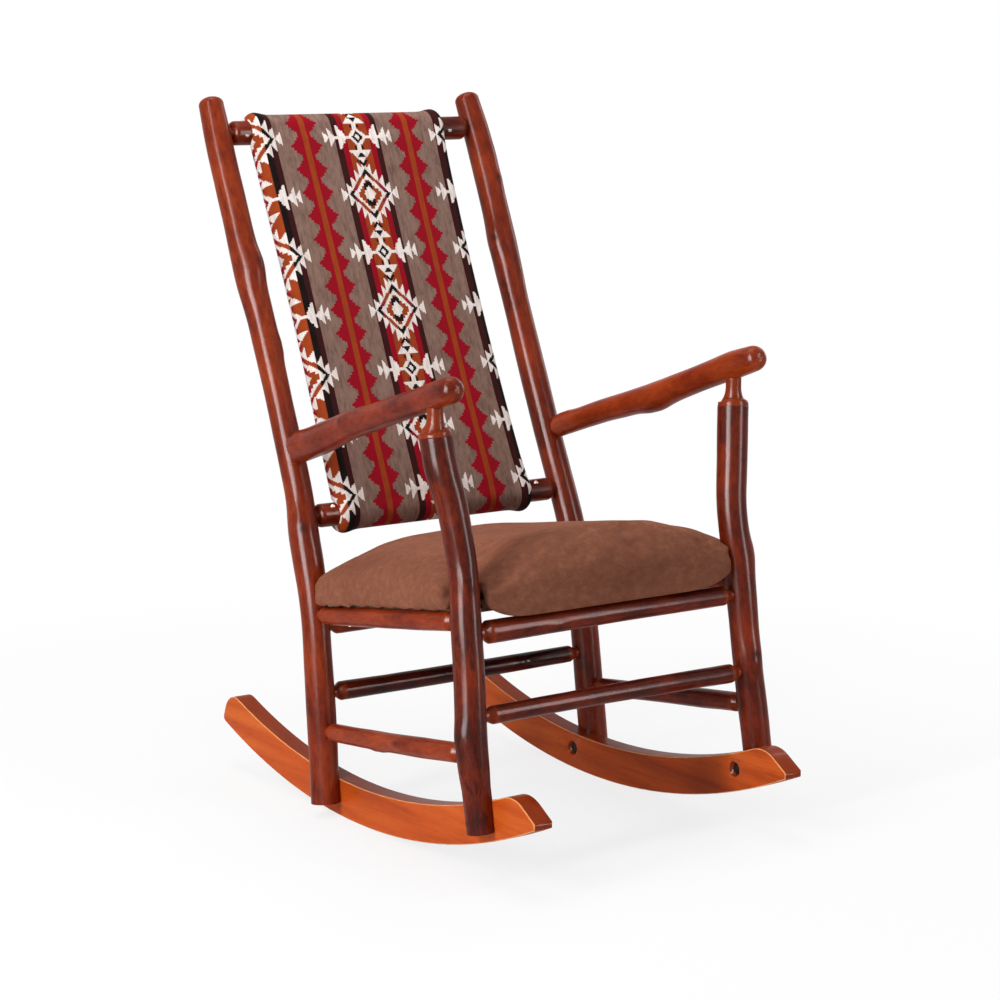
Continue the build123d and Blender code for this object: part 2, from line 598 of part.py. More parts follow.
deck = seat_slab(DECK_OVERHANG, DECK_FRONT, DECK_BACK, 0, DECK_THICKNESS, DECK_POST_GAP)
deck = seat_plane * deck
lining = seat_slab(-SEAT_RAIL_DIAMETER / 2 - SEAT_CLOTH_SET, DECK_FRONT - SEAT_CLOTH_SET,
                   DECK_BACK - SEAT_CLOTH_SET, -SEAT_CLOTH, 0, DECK_POST_GAP)
pad = seat_slab(DECK_OVERHANG + PAD_OVERHANG, PAD_FRONT, PAD_BACK, SOFT_GAP,
                DECK_THICKNESS + PAD_THICKNESS, PAD_POST_GAP)
crown_radius = (front_half ** 2 + PAD_CROWN ** 2) / (2 * PAD_CROWN)
crown = Rot(90, 0, 0) * Cylinder(crown_radius, seat_length * 2)
pad &= Location((0, 0, DECK_THICKNESS + PAD_THICKNESS - crown_radius)) * crown
pad = fillet(pad.faces().sort_by(Axis.Z)[-1].edges(), PAD_ROUND)
lip = Box(2 * (inner_reach(front_pair, FRONT_RAIL_HEIGHT, SIDE_RAIL_FRONT_HEIGHT) - PAD_POST_GAP),
          PAD_FRONT - DECK_FRONT - SOFT_GAP, CROSS_RAIL_DROP + PAD_HEM,
          align=(Align.CENTER, Align.MIN, Align.MAX))
lip = Location((0, -PAD_FRONT, PAD_HEM + SOFT_GAP)) * lip
pad = pad + lip
pocket = seat_slab(DECK_OVERHANG + SOFT_GAP, DECK_FRONT + SOFT_GAP, DECK_BACK + SOFT_GAP, -1,
                   DECK_THICKNESS + SOFT_GAP, DECK_POST_GAP - SOFT_GAP)
pad = seat_plane * (pad - pocket)
front_rail = rungs["seat_rail_front"]
pad -= rod(front_rail.start, front_rail.end, front_rail.thickest + 2 * SOFT_GAP)
nodes["seat_lining"] = seat_plane * lining

screws = []
for name in SIDES:
    for share in SEAT_SCREW_SHARES:
        place = rungs["seat_rail_" + name].centre(share)
        underside = place - seat_up * (SEAT_RAIL_DIAMETER / 2)
        tip = place + seat_up * (rail_top + SEAT_SCREW_BITE)
        screws.append(screw(underside, tip))
        hole = screw(underside, tip, SCREW_GAP)
        deck -= hole
        nodes["seat_rail_" + name] -= hole
nodes["seat_screws"] = Compound(screws)
nodes["seat_deck"] = deck
nodes["seat_pad"] = pad

# ---- back: a plywood board let into both back rails, padded in front and round the rails ----------
low_rail = rungs["back_rail_bottom"]
top_rail = rungs["back_rail_top"]
low_middle = between(low_rail.start, low_rail.end, 0.5)
top_middle = between(top_rail.start, top_rail.end, 0.5)
panel_up = (top_middle - low_middle).normalized()
panel_front = Vector(1, 0, 0).cross(panel_up).normalized()
panel_height = (top_middle - low_middle).length
low_radius = LOW_BACK_RAIL_DIAMETER / 2
top_radius = TOP_BACK_RAIL_DIAMETER / 2


def panel_plane(width):
    """Plane across the chair: X runs to the front of the panel, Y up it, and Z to the right post."""
    edge = Vector(BACK_PAD_SHIFT + width / 2, low_middle.Y, low_middle.Z)
    return Plane(origin=edge, x_dir=panel_front, z_dir=(-1, 0, 0))


def panel_slab(width, rear, front, bottom, top):
    """Block of the back panel: depths from the rails' axes, heights up from the lower rail."""
    block = Box(front - rear, top - bottom, width, align=Align.MIN)
    return panel_plane(width) * Location((rear, bottom, 0)) * block


def panel_rod(width, height, radius):
    """Cylinder along a back rail."""
    body = Cylinder(radius, width, align=(Align.CENTER, Align.CENTER, Align.MIN))
    return panel_plane(width) * Location((0, height, 0)) * body


board_front = BACK_BOARD_THICKNESS - BACK_BOARD_REAR
board_width = BACK_PAD_WIDTH - 2 * BACK_BOARD_INSET
tongue_width = BACK_PAD_WIDTH + 2 * BACK_TONGUE_EXTRA
low_tongue = low_radius - BACK_TONGUE
top_tongue = panel_height - top_radius + BACK_TONGUE
board = panel_slab(board_width, -BACK_BOARD_REAR, board_front, low_tongue, top_tongue)
for bottom, top in ((low_tongue, low_radius - 1), (panel_height - top_radius + 1, top_tongue)):
    board += panel_slab(tongue_width, -BACK_BOARD_REAR, board_front, bottom, top)
for name, bottom, top in (
        ("back_rail_bottom", low_tongue - GLUE_GAP, low_radius * 2),
        ("back_rail_top", panel_height - top_radius * 2, top_tongue + GLUE_GAP)):
    nodes[name] -= panel_slab(tongue_width + 2 * GLUE_GAP, -BACK_BOARD_REAR - GLUE_GAP,
                              board_front + GLUE_GAP, bottom, top)

back_pad = panel_slab(BACK_PAD_WIDTH, -BACK_BOARD_REAR, BACK_PAD_FACE, 0, panel_height)
back_pad += panel_rod(BACK_PAD_WIDTH, 0, low_radius + BACK_PAD_WRAP)
back_pad += panel_rod(BACK_PAD_WIDTH, panel_height, top_radius + BACK_PAD_WRAP)
back_pad -= panel_slab(BACK_PAD_WIDTH, -top_radius * 2, -BACK_BOARD_REAR, 0, panel_height)
back_pad -= panel_rod(BACK_PAD_WIDTH, 0, low_rail.thickest / 2 + SOFT_GAP)
back_pad -= panel_rod(BACK_PAD_WIDTH, panel_height, top_rail.thickest / 2 + SOFT_GAP)
back_pad -= panel_slab(board_width + 2 * SOFT_GAP, -BACK_BOARD_REAR - 1, board_front + SOFT_GAP,
                       0, panel_height)
nodes["back_pad"] = back_pad
nodes["back_lining"] = panel_slab(board_width, -BACK_BOARD_REAR - BACK_CLOTH, -BACK_BOARD_REAR,
                                  low_radius + BACK_CLOTH_SET, panel_height - top_radius - BACK_CLOTH_SET)

screws = []
for name, height in (("back_rail_bottom", low_tongue + BACK_SCREW_EDGE),
                     ("back_rail_top", top_tongue - BACK_SCREW_EDGE)):
    radius = low_radius if height < panel_height / 2 else top_radius
    off_axis = height if height < panel_height / 2 else panel_height - height
    face = sqrt(radius ** 2 - off_axis ** 2)
    for side in SIDES.values():
        reach = BACK_PAD_SHIFT + side * (BACK_PAD_WIDTH + BACK_TONGUE_EXTRA) / 2
        place = low_middle + panel_up * height
        place = Vector(reach, place.Y, place.Z)
        head, tip = place + panel_front * face, place + panel_front * (face - BACK_SCREW_LENGTH)
        screws.append(screw(head, tip))
        hole = screw(head, tip, SCREW_GAP)
        board -= hole
        nodes[name] -= hole
nodes["back_screws"] = Compound(screws)
nodes["back_board"] = board

# ---- nails through the tenons and the feet ---------------------------------------------------------
nails = []
for post_name, entries in crossings.items():
    stations = post_axes[post_name]
    for rung_name, end in entries:
        start, tip = rungs[rung_name].nail(end, stations)
        nails.append(nail(start, tip))
        nodes[post_name] -= nail(start, tip, NAIL_GAP)
        nodes[rung_name] -= nail(start, tip, NAIL_GAP)
nodes["tenon_nails"] = Compound(nails)

nails = []
for name, side in SIDES.items():
    for post_name in ("front_post_" + name, "back_post_" + name):
        stations = post_axes[post_name]
        height = top_edge(stations[0][0].Y) - FOOT_NAIL_BELOW_EDGE
        axis_point, radius = interpolate(stations, height)
        face = sqrt(radius ** 2 - FOOT_NAIL_OFF_AXIS ** 2)
        start = axis_point + Vector(side * face, -FOOT_NAIL_OFF_AXIS, 0)
        tip = start - Vector(side * FOOT_NAIL_LENGTH, 0, 0)
        nails.append(nail(start, tip))
        nodes[post_name] -= nail(start, tip, NAIL_GAP)
        nodes["rocker_" + name] -= nail(start, tip, NAIL_GAP)
nodes["foot_nails"] = Compound(nails)

# ---- put the origin under the middle of the outline, and write one file per piece ------------------
outline = Compound(list(nodes.values())).bounding_box()
centred = Location((0, -outline.center().Y, 0))
os.makedirs("parts", exist_ok=True)
for name, solid in nodes.items():
    export_step(centred * solid, os.path.join("parts", name + ".step"))
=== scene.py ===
"""Hickory rocking chair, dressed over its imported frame: rockers, poles, seat, back, then the studio."""
from math import cos, pi, radians, sin, sqrt

import bmesh
import bpy
import numpy as np
from mathutils import Matrix, Vector, noise
from mathutils.bvhtree import BVHTree


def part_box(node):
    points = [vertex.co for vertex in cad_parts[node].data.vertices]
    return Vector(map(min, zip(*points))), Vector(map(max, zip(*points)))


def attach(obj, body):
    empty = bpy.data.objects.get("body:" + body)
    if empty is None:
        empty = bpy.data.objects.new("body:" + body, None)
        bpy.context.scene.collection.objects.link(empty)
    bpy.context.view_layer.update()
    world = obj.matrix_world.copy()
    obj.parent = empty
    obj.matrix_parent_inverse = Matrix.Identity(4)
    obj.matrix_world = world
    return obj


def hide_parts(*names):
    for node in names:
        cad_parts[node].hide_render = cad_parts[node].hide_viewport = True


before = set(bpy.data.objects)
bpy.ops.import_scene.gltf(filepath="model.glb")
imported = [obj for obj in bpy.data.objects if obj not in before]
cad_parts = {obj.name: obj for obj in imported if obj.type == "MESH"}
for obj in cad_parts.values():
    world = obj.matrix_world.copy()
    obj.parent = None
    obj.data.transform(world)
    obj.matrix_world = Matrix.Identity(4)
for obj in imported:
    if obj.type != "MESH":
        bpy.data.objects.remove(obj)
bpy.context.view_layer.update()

# ---- rockers --------------------------------------------------------------------------------------
# Two boards sawn from a straight plank of fine, close-grained wood, sanded, their arrises rubbed
# over, then stained orange and varnished. The grain runs straight, so it leaves the curved edges.
# the rubbed colour is partly a painted highlight, besides worn stain
# the sawn colour is partly painted shade, besides the stain that end grain drinks
ROCKER_WOOD = {"dark": (138, 50, 14), "middle": (194, 82, 26), "light": (214, 108, 42),
               "rubbed_and_highlight": (240, 164, 106), "sawn": (112, 32, 8)}


def dye(colour):
    """A colour in everyday 0-255 values, as the linear one that a socket takes."""
    parts = [part / 255 for part in colour]
    return [part / 12.92 if part < 0.04045 else ((part + 0.055) / 1.055) ** 2.4 for part in parts] + [1]


def wire(tree, kind, inputs=None, **settings):
    """Adds a node, sets it and feeds its sockets with values or other nodes' outputs."""
    node = tree.nodes.new(kind)
    for name, value in settings.items():
        setattr(node, name, value)
    for socket, value in (inputs or {}).items():
        if isinstance(value, bpy.types.NodeSocket):
            tree.links.new(value, node.inputs[socket])
        else:
            node.inputs[socket].default_value = value
    return node


def sums(tree, operation, *values):
    """Math node on two or three values or outputs."""
    return wire(tree, "ShaderNodeMath", dict(enumerate(values)), operation=operation).outputs[0]


def times(tree, first, second):
    return sums(tree, "MULTIPLY", first, second)


def spot(tree):
    """Places on the piece, in metres."""
    return wire(tree, "ShaderNodeTexCoord").outputs["Object"]


def blend(tree, share, under, over):
    """Lays one colour over another by a share."""
    node = wire(tree, "ShaderNodeMix", {"Factor": share}, data_type="RGBA")
    for socket, value in ((node.inputs[6], under), (node.inputs[7], over)):
        if isinstance(value, bpy.types.NodeSocket):
            tree.links.new(value, socket)
        else:
            socket.default_value = value
    return node.outputs[2]


def shades(tree, value, stops, interpolation="LINEAR"):
    """Colour ramp from (place, colour) stops."""
    node = wire(tree, "ShaderNodeValToRGB", {"Fac": value})
    ramp = node.color_ramp
    ramp.interpolation = interpolation
    while len(ramp.elements) < len(stops):
        ramp.elements.new(0.5)
    for element, (place, colour) in zip(ramp.elements, stops):
        element.position = place
        element.color = dye(colour) if isinstance(colour, tuple) else (colour, colour, colour, 1)
    return node.outputs["Color"]


def grain(tree, place, stretch, detail=4, roughness=0.55, distortion=0.0, seed=0.0):
    """Noise over a place that is stretched by three factors; its value only."""
    moved = wire(tree, "ShaderNodeMapping", {"Vector": place, "Scale": stretch})
    return wire(tree, "ShaderNodeTexNoise", {
        "Vector": moved.outputs[0], "W": seed, "Scale": 1.0, "Detail": detail, "Roughness": roughness,
        "Distortion": distortion}, noise_dimensions="4D").outputs[0]


def finish(name, **shine):
    """New material with its tree and its one shader; shine goes on the shader's own sockets."""
    material = bpy.data.materials.new(name)
    material.use_nodes = True
    tree = material.node_tree
    shader = next(node for node in tree.nodes if node.type == "BSDF_PRINCIPLED")
    for socket, value in shine.items():
        shader.inputs[socket.replace("_", " ")].default_value = value
    return material, tree, shader


def tint(tree, shader, colour, roughness):
    """Feeds the shader its colour and its roughness."""
    tree.links.new(colour, shader.inputs["Base Color"])
    tree.links.new(roughness, shader.inputs["Roughness"])


def relief(tree, shader, height, depth, strength=1.0):
    bump = wire(tree, "ShaderNodeBump", {"Height": height, "Distance": depth, "Strength": strength})
    tree.links.new(bump.outputs[0], shader.inputs["Normal"])


def named(tree, attribute, output="Fac"):
    return wire(tree, "ShaderNodeAttribute", attribute_name=attribute).outputs[output]


def rocker_finish():
    material, tree, shader = finish("cherry_stain", Coat_Weight=0.12, Coat_Roughness=0.18,
                                    Specular_IOR_Level=0.02)
    place = spot(tree)
    figure = grain(tree, place, (26, 1.6, 26), detail=5, distortion=0.6)
    colour = shades(tree, figure, [(0.3, ROCKER_WOOD["dark"]), (0.5, ROCKER_WOOD["middle"]),
                                   (0.72, ROCKER_WOOD["light"])])
    rings = grain(tree, place, (150, 5, 150), detail=3, distortion=0.25, seed=2)
    colour = blend(tree, times(tree, rings, 0.3), colour, dye((140, 52, 16)))
    pores = grain(tree, place, (900, 26, 900), detail=2, seed=5)
    pore = sums(tree, "GREATER_THAN", pores, 0.63)
    colour = blend(tree, times(tree, pore, 0.35), colour, dye((84, 32, 16)))
    # sawn curves darker: partly end grain that drank more stain, partly painted shade on the top faces;
    # rubbed edges lighter: partly worn stain, partly a painted highlight
    colour = blend(tree, times(tree, named(tree, "sawn"), 0.75), colour, dye(ROCKER_WOOD["sawn"]))
    colour = blend(tree, times(tree, named(tree, "arris"), 0.7), colour, dye(ROCKER_WOOD["rubbed_and_highlight"]))
    tint(tree, shader, colour, sums(tree, "MULTIPLY_ADD", figure, 0.16, 0.3))
    relief(tree, shader, sums(tree, "SUBTRACT", rings, times(tree, pore, 0.5)), 0.00025)
    return material


def placed(name, data):
    """New object in the scene."""
    piece = bpy.data.objects.new(name, data)
    bpy.context.scene.collection.objects.link(piece)
    return piece


def marked(mesh, label, values, domain="FACE"):
    """Writes one number for each face or point of a mesh."""
    layer = mesh.attributes.new(label, "FLOAT", domain)
    layer.data.foreach_set("value", np.asarray(values, np.float32))


def merged_copy(node, name):
    """New piece with a copy of a CAD node's mesh, its loose triangles joined up."""
    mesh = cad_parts[node].data.copy()
    mesh.name = name
    mesh.materials.clear()
    solid = bmesh.new()
    solid.from_mesh(mesh)
    bmesh.ops.remove_doubles(solid, verts=solid.verts, dist=1e-5)
    bmesh.ops.dissolve_degenerate(solid, edges=solid.edges, dist=1e-6)
    solid.to_mesh(mesh)
    solid.free()
    return placed(name, mesh)


def settle(piece):
    """Works a piece's modifiers into its mesh and removes them."""
    graph = bpy.context.evaluated_depsgraph_get()
    graph.update()
    mesh = bpy.data.meshes.new_from_object(piece.evaluated_get(graph), preserve_all_data_layers=True,
                                           depsgraph=graph)
    old = piece.data
    piece.modifiers.clear()
    piece.data = mesh
    bpy.data.meshes.remove(old)
    return piece


def crisp(mesh, degrees):
    """Smooth faces with hard edges where they meet more sharply than this."""
    mesh.shade_smooth()
    mesh.set_sharp_from_angle(angle=radians(degrees))


def joins(piece, material, slot, *nodes):
    """Gives a piece its material and takes the CAD nodes' place with it."""
    piece.data.materials.clear()
    piece.data.materials.append(material)
    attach(piece, "root")
    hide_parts(*nodes)


cherry = rocker_finish()
for side in ("right", "left"):
    board = merged_copy("rocker_" + side, "rocker_board_" + side)
    crisp(board.data, 55)
    soften = board.modifiers.new("soften", "WEIGHTED_NORMAL")
    soften.keep_sharp = True
    normals = np.array([polygon.normal[:] for polygon in board.data.polygons])
    slanted = (abs(normals[:, 0]) > 0.2) & (abs(normals[:, 0]) < 0.95)
    # chamfer faces that take the pale colour: worn stain and a painted highlight
    marked(board.data, "arris", slanted)
    # sawn curved faces that take the dark colour: stain and painted shade
    marked(board.data, "sawn", abs(normals[:, 0]) < 0.2)
    joins(board, cherry, "rocker_wood", "rocker_" + side)

# ---- poles ----------------------------------------------------------------------------------------
# Sixteen peeled hickory saplings: four posts, two arms, four seat rails, four stretchers and two back
# rails. Each keeps its crook and its knots; only the ends of the rungs, the front posts' tops and the
# tenons are turned. All are stained red-brown under a glossy varnish.
POLE_SHADES = {"deep": (44, 10, 5), "dark": (82, 23, 9), "red": (118, 38, 14), "warm": (150, 58, 22),
               "turned": (160, 62, 22), "knot": (28, 8, 5)}
POSTS = [kind + side for side in ("right", "left") for kind in ("front_post_", "back_post_")]
ARMS = ["arm_right", "arm_left"]
RUNGS = ["seat_rail_front", "seat_rail_back", "seat_rail_right", "seat_rail_left", "stretcher_front",
         "stretcher_back", "stretcher_right", "stretcher_left", "back_rail_bottom", "back_rail_top"]
# how much lighter or darker each pole is made, partly its stain and partly painted light and shade, and how
# blotched it is
POLE_TONE = {"arm_right": (0.02, 0.2), "arm_left": (0.16, 0.1), "front_post_right": (-0.06, 0.9),
             "front_post_left": (-0.02, 0.25), "back_post_right": (0.08, 0.35), "back_post_left": (0.02, 0.2),
             "seat_rail_right": (0.12, 0.2), "seat_rail_front": (-0.04, 0.3), "stretcher_front": (-0.1, 0.2),
             "stretcher_back": (-0.2, 0.3), "stretcher_right": (0.16, 0.3), "back_rail_bottom": (-0.08, 0.2),
             "back_rail_top": (-0.1, 0.2)}
# knots: share of the length, the way they face, size and height in millimetres
KNOTS = {
    "back_post_right": [(0.37, (-0.6, -1, 0), 26, 4), (0.63, (1, -0.4, 0), 18, 3),
                        (0.75, (0.5, -1, 0), 26, 6)],
    "back_post_left": [(0.77, (-1, -0.6, 0), 24, 5), (0.86, (0.2, -1, 0), 16, 3), (0.47, (0, 1, 0), 14, 2)],
    "front_post_right": [(0.22, (-1, 0, 0), 20, 3), (0.58, (-0.3, -1, 0), 16, 2)],
    "front_post_left": [(0.30, (0, -1, 0), 24, 4), (0.55, (1, -0.2, 0), 22, 4)],
    "arm_left": [(0.50, (-0.3, 0, -1), 34, 6), (0.93, (0, 0.2, 1), 20, 3)],
    "arm_right": [(0.62, (-1, 0, 0.4), 16, 2), (0.955, (-0.8, 0, 0.8), 22, 4)],
    "stretcher_right": [(0.42, (-1, 0, 0.3), 16, 3), (0.58, (-0.4, 0, -1), 18, 3)],
    "stretcher_back": [(0.75, (0, -1, 0.2), 16, 3)],
    "seat_rail_front": [(0.3, (0, -1, -0.4), 14, 2)]}


def unit(way):
    return way / np.linalg.norm(way)


def travelled(points):
    """Length of a line up to each of its points."""
    return np.concatenate([[0], np.cumsum(np.linalg.norm(np.diff(points, axis=0), axis=1))])


def ring_at(corners, origin, way):
    """Centre and radius of the round outline where a plane crosses a pole's triangles."""
    height = (corners - origin) @ way
    crossed = []
    for a, b in ((0, 1), (1, 2), (2, 0)):
        hit = height[:, a] * height[:, b] < 0
        part = height[hit, a] / (height[hit, a] - height[hit, b])
        crossed.append(corners[hit, a] + (corners[hit, b] - corners[hit, a]) * part[:, None])
    points = np.concatenate(crossed)
    if len(points) < 8:
        return None
    across = unit(np.cross(way, (0, 0, 1) if abs(way[2]) < 0.8 else (0, 1, 0)))
    up = np.cross(way, across)
    flat = np.stack([(points - origin) @ across, (points - origin) @ up], 1)
    middle = (flat.max(0) + flat.min(0)) / 2
    distance = np.linalg.norm(flat - middle, axis=1)
    kept = distance > 0.88 * distance.max()
    for _ in range(8):
        sums_of = np.column_stack([2 * flat[kept], np.ones(kept.sum())])
        answer = np.linalg.lstsq(sums_of, (flat[kept] ** 2).sum(1), rcond=None)[0]
        middle = answer[:2]
        radius = sqrt(max(answer[2] + middle @ middle, 1e-9))
        miss = abs(np.linalg.norm(flat - middle, axis=1) - radius)
        kept = miss < max(0.0005, np.median(miss[kept]) * 2)
    return origin + across * middle[0] + up * middle[1], radius


def even(values, reach):
    """Running mean along a pole, its ends kept."""
    padded = np.concatenate([np.repeat(values[:1], reach, 0), values, np.repeat(values[-1:], reach, 0)])
    return np.mean([padded[step:step + len(values)] for step in range(2 * reach + 1)], axis=0)


def pole_line(node, spacing, skip_start=0.0, skip_end=0.0):
    """Centre points and radii along a CAD pole, read off its cross sections."""
    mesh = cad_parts[node].data
    mesh.calc_loop_triangles()
    vertices = np.array([vertex.co[:] for vertex in mesh.vertices])
    corners = vertices[np.array([triangle.vertices[:] for triangle in mesh.loop_triangles])]
    middle = vertices.mean(0)
    way = np.linalg.svd(vertices - middle, full_matrices=False)[2][0]
    way *= np.sign(way[np.argmax(abs(way))])
    reach = (vertices - middle) @ way
    steps = np.arange(reach.min() + skip_start + 0.0006, reach.max() - skip_end - 0.0004, spacing)
    rings = [ring_at(corners, middle + way * step, way) for step in steps]
    centres = np.array([ring[0] for ring in rings if ring])
    for _ in range(2):
        smooth = even(centres, max(1, round(0.02 / spacing)))
        ways = np.gradient(smooth, axis=0)
        ways /= np.linalg.norm(ways, axis=1)[:, None]
        rings = [ring_at(corners, centre, ahead) for centre, ahead in zip(smooth, ways)]
        kept = [index for index, ring in enumerate(rings) if ring and ring[1] < 0.04
                and np.linalg.norm(ring[0] - smooth[index]) < 0.006]
        centres = np.array([rings[index][0] for index in kept])
        radii = np.array([rings[index][1] for index in kept])
    return centres, radii


GRAIN_RADIUS = 0.022         # the stain's pattern is laid on a pole of this radius


def pole_tree():
    """Geometry nodes that sweep a round section along a line of points with a girth."""
    tree = bpy.data.node_groups.new("peeled_pole", "GeometryNodeTree")
    face = tree.interface
    face.new_socket("Line", in_out="INPUT", socket_type="NodeSocketGeometry")
    face.new_socket("Pole", in_out="OUTPUT", socket_type="NodeSocketGeometry")
    for name, kind, value in (("Sides", "NodeSocketInt", 40), ("Ripple", "NodeSocketFloat", 0.0012),
                              ("Ripple Length", "NodeSocketFloat", 0.09), ("Seed", "NodeSocketInt", 1),
                              ("Finish", "NodeSocketMaterial", None)):
        socket = face.new_socket(name, in_out="INPUT", socket_type=kind)
        if value is not None:
            socket.default_value = value
    given = wire(tree, "NodeGroupInput")
    line = wire(tree, "GeometryNodeMeshToCurve", {"Mesh": given.outputs["Line"]})
    along = wire(tree, "GeometryNodeSplineParameter")
    keep_length = wire(tree, "GeometryNodeCaptureAttribute", {"Geometry": line.outputs[0]})
    keep_length.capture_items.new("FLOAT", "Length")
    tree.links.new(along.outputs["Length"], keep_length.inputs[1])
    round_section = wire(tree, "GeometryNodeCurvePrimitiveCircle", {
        "Resolution": given.outputs["Sides"], "Radius": 1.0})
    turn = wire(tree, "GeometryNodeSplineParameter")
    keep_turn = wire(tree, "GeometryNodeCaptureAttribute", {"Geometry": round_section.outputs["Curve"]})
    keep_turn.capture_items.new("FLOAT", "Turn")
    tree.links.new(turn.outputs["Factor"], keep_turn.inputs[1])
    girth = wire(tree, "GeometryNodeInputNamedAttribute", {"Name": "girth"})
    sweep = wire(tree, "GeometryNodeCurveToMesh", {
        "Curve": keep_length.outputs[0], "Profile Curve": keep_turn.outputs[0],
        "Scale": girth.outputs[0], "Fill Caps": True})
    angle = times(tree, keep_turn.outputs[1], 2 * pi)
    place = wire(tree, "ShaderNodeCombineXYZ", {
        "X": times(tree, sums(tree, "COSINE", angle), GRAIN_RADIUS),
        "Y": times(tree, sums(tree, "SINE", angle), GRAIN_RADIUS), "Z": keep_length.outputs[1]})
    told = wire(tree, "GeometryNodeStoreNamedAttribute", {
        "Geometry": sweep.outputs[0], "Name": "grain", "Value": place.outputs[0]}, data_type="FLOAT_VECTOR")
    size = sums(tree, "DIVIDE", 1.0, given.outputs["Ripple Length"])
    stretch = wire(tree, "ShaderNodeCombineXYZ", {
        "X": times(tree, size, 2.2), "Y": times(tree, size, 2.2), "Z": size})
    scaled = wire(tree, "ShaderNodeVectorMath", {0: place.outputs[0], 1: stretch.outputs[0]},
                  operation="MULTIPLY")
    ripple = wire(tree, "ShaderNodeTexNoise", {
        "Vector": scaled.outputs[0], "W": given.outputs["Seed"], "Scale": 1.0, "Detail": 2.0},
        noise_dimensions="4D")
    turned = wire(tree, "GeometryNodeInputNamedAttribute", {"Name": "turned"})
    grown = sums(tree, "SUBTRACT", 1.0, turned.outputs[0])
    lift = times(tree, sums(tree, "SUBTRACT", ripple.outputs[0], 0.5), grown)
    lift = times(tree, times(tree, lift, given.outputs["Ripple"]), 4.0)
    outward = wire(tree, "GeometryNodeInputNormal")
    offset = wire(tree, "ShaderNodeVectorMath", {0: outward.outputs[0], "Scale": lift}, operation="SCALE")
    moved = wire(tree, "GeometryNodeSetPosition", {"Geometry": told.outputs[0], "Offset": offset.outputs[0]})
    smooth = wire(tree, "GeometryNodeSetShadeSmooth", {"Geometry": moved.outputs[0]})
    whole = wire(tree, "GeometryNodeRealizeInstances", {"Geometry": smooth.outputs[0]})
    painted = wire(tree, "GeometryNodeSetMaterial", {
        "Geometry": whole.outputs[0], "Material": given.outputs["Finish"]})
    wire(tree, "NodeGroupOutput", {0: painted.outputs[0]})
    return tree


def grow(piece, tree, **inputs):
    """Runs a geometry tree on a piece and leaves the plain mesh."""
    modifier = piece.modifiers.new(tree.name, "NODES")
    modifier.node_group = tree
    for item in tree.interface.items_tree:
        if item.item_type == "SOCKET" and item.in_out == "INPUT" and item.name.replace(" ", "_") in inputs:
            modifier[item.identifier] = inputs[item.name.replace(" ", "_")]
    return settle(piece)


def line_of(name, centres, **attributes):
    """A piece that is only a chain of edges, with values at its points."""
    mesh = bpy.data.meshes.new(name)
    mesh.from_pydata(centres.tolist(), [(i, i + 1) for i in range(len(centres) - 1)], [])
    for label, values in attributes.items():
        marked(mesh, label, values, "POINT")
    return placed(name, mesh)


def vectors(mesh, layer):
    values = np.zeros(len(mesh.vertices) * 3, np.float32)
    mesh.attributes[layer].data.foreach_get("vector", values)
    return values.reshape(-1, 3)


def raise_knots(piece, centres, knots, tone, blotch):
    """Swells the pole at its knots, and writes down where they are, its tone (partly stain, partly painted
    light and shade) and its blotching.
    """
    mesh = piece.data
    place = vectors(mesh, "grain")
    points = vectors(mesh, "position")
    span = travelled(centres)
    normals = np.zeros(len(mesh.vertices) * 3, np.float32)
    mesh.vertices.foreach_get("normal", normals)
    mark = np.zeros(len(points))
    for share, facing, size, height in knots:
        at = share * span[-1]
        along = place[:, 2] - at
        middle, ahead = [np.array([np.interp(at + step, span, centres[:, axis]) for axis in range(3)])
                         for step in (0, 0.01)]
        ahead = unit(ahead - middle)
        facing = np.array(facing) - ahead * (np.array(facing) @ ahead)
        off = points - middle
        off -= (off @ ahead)[:, None] * ahead
        match = off @ facing / np.maximum(np.linalg.norm(off, axis=1) * np.linalg.norm(facing), 1e-9)
        around = np.arccos(np.clip(match, -1, 1)) * 0.024
        spread = np.exp(-(along / (size * 0.0011)) ** 2 - (around / (size * 0.0008)) ** 2)
        core = np.exp(-(along / (size * 0.00035)) ** 2 - (around / (size * 0.0003)) ** 2)
        points += normals.reshape(-1, 3) * ((spread * height - core * min(height, 3) * 0.4) * 0.001)[:, None]
        mark = np.maximum(mark, core)
    mesh.attributes["position"].data.foreach_set("vector", points.astype(np.float32).ravel())
    for label, values in (("knot", mark), ("tone", np.full(len(points), tone)),
                          ("blotch", np.full(len(points), blotch))):
        marked(mesh, label, values, "POINT")
    mesh.update()


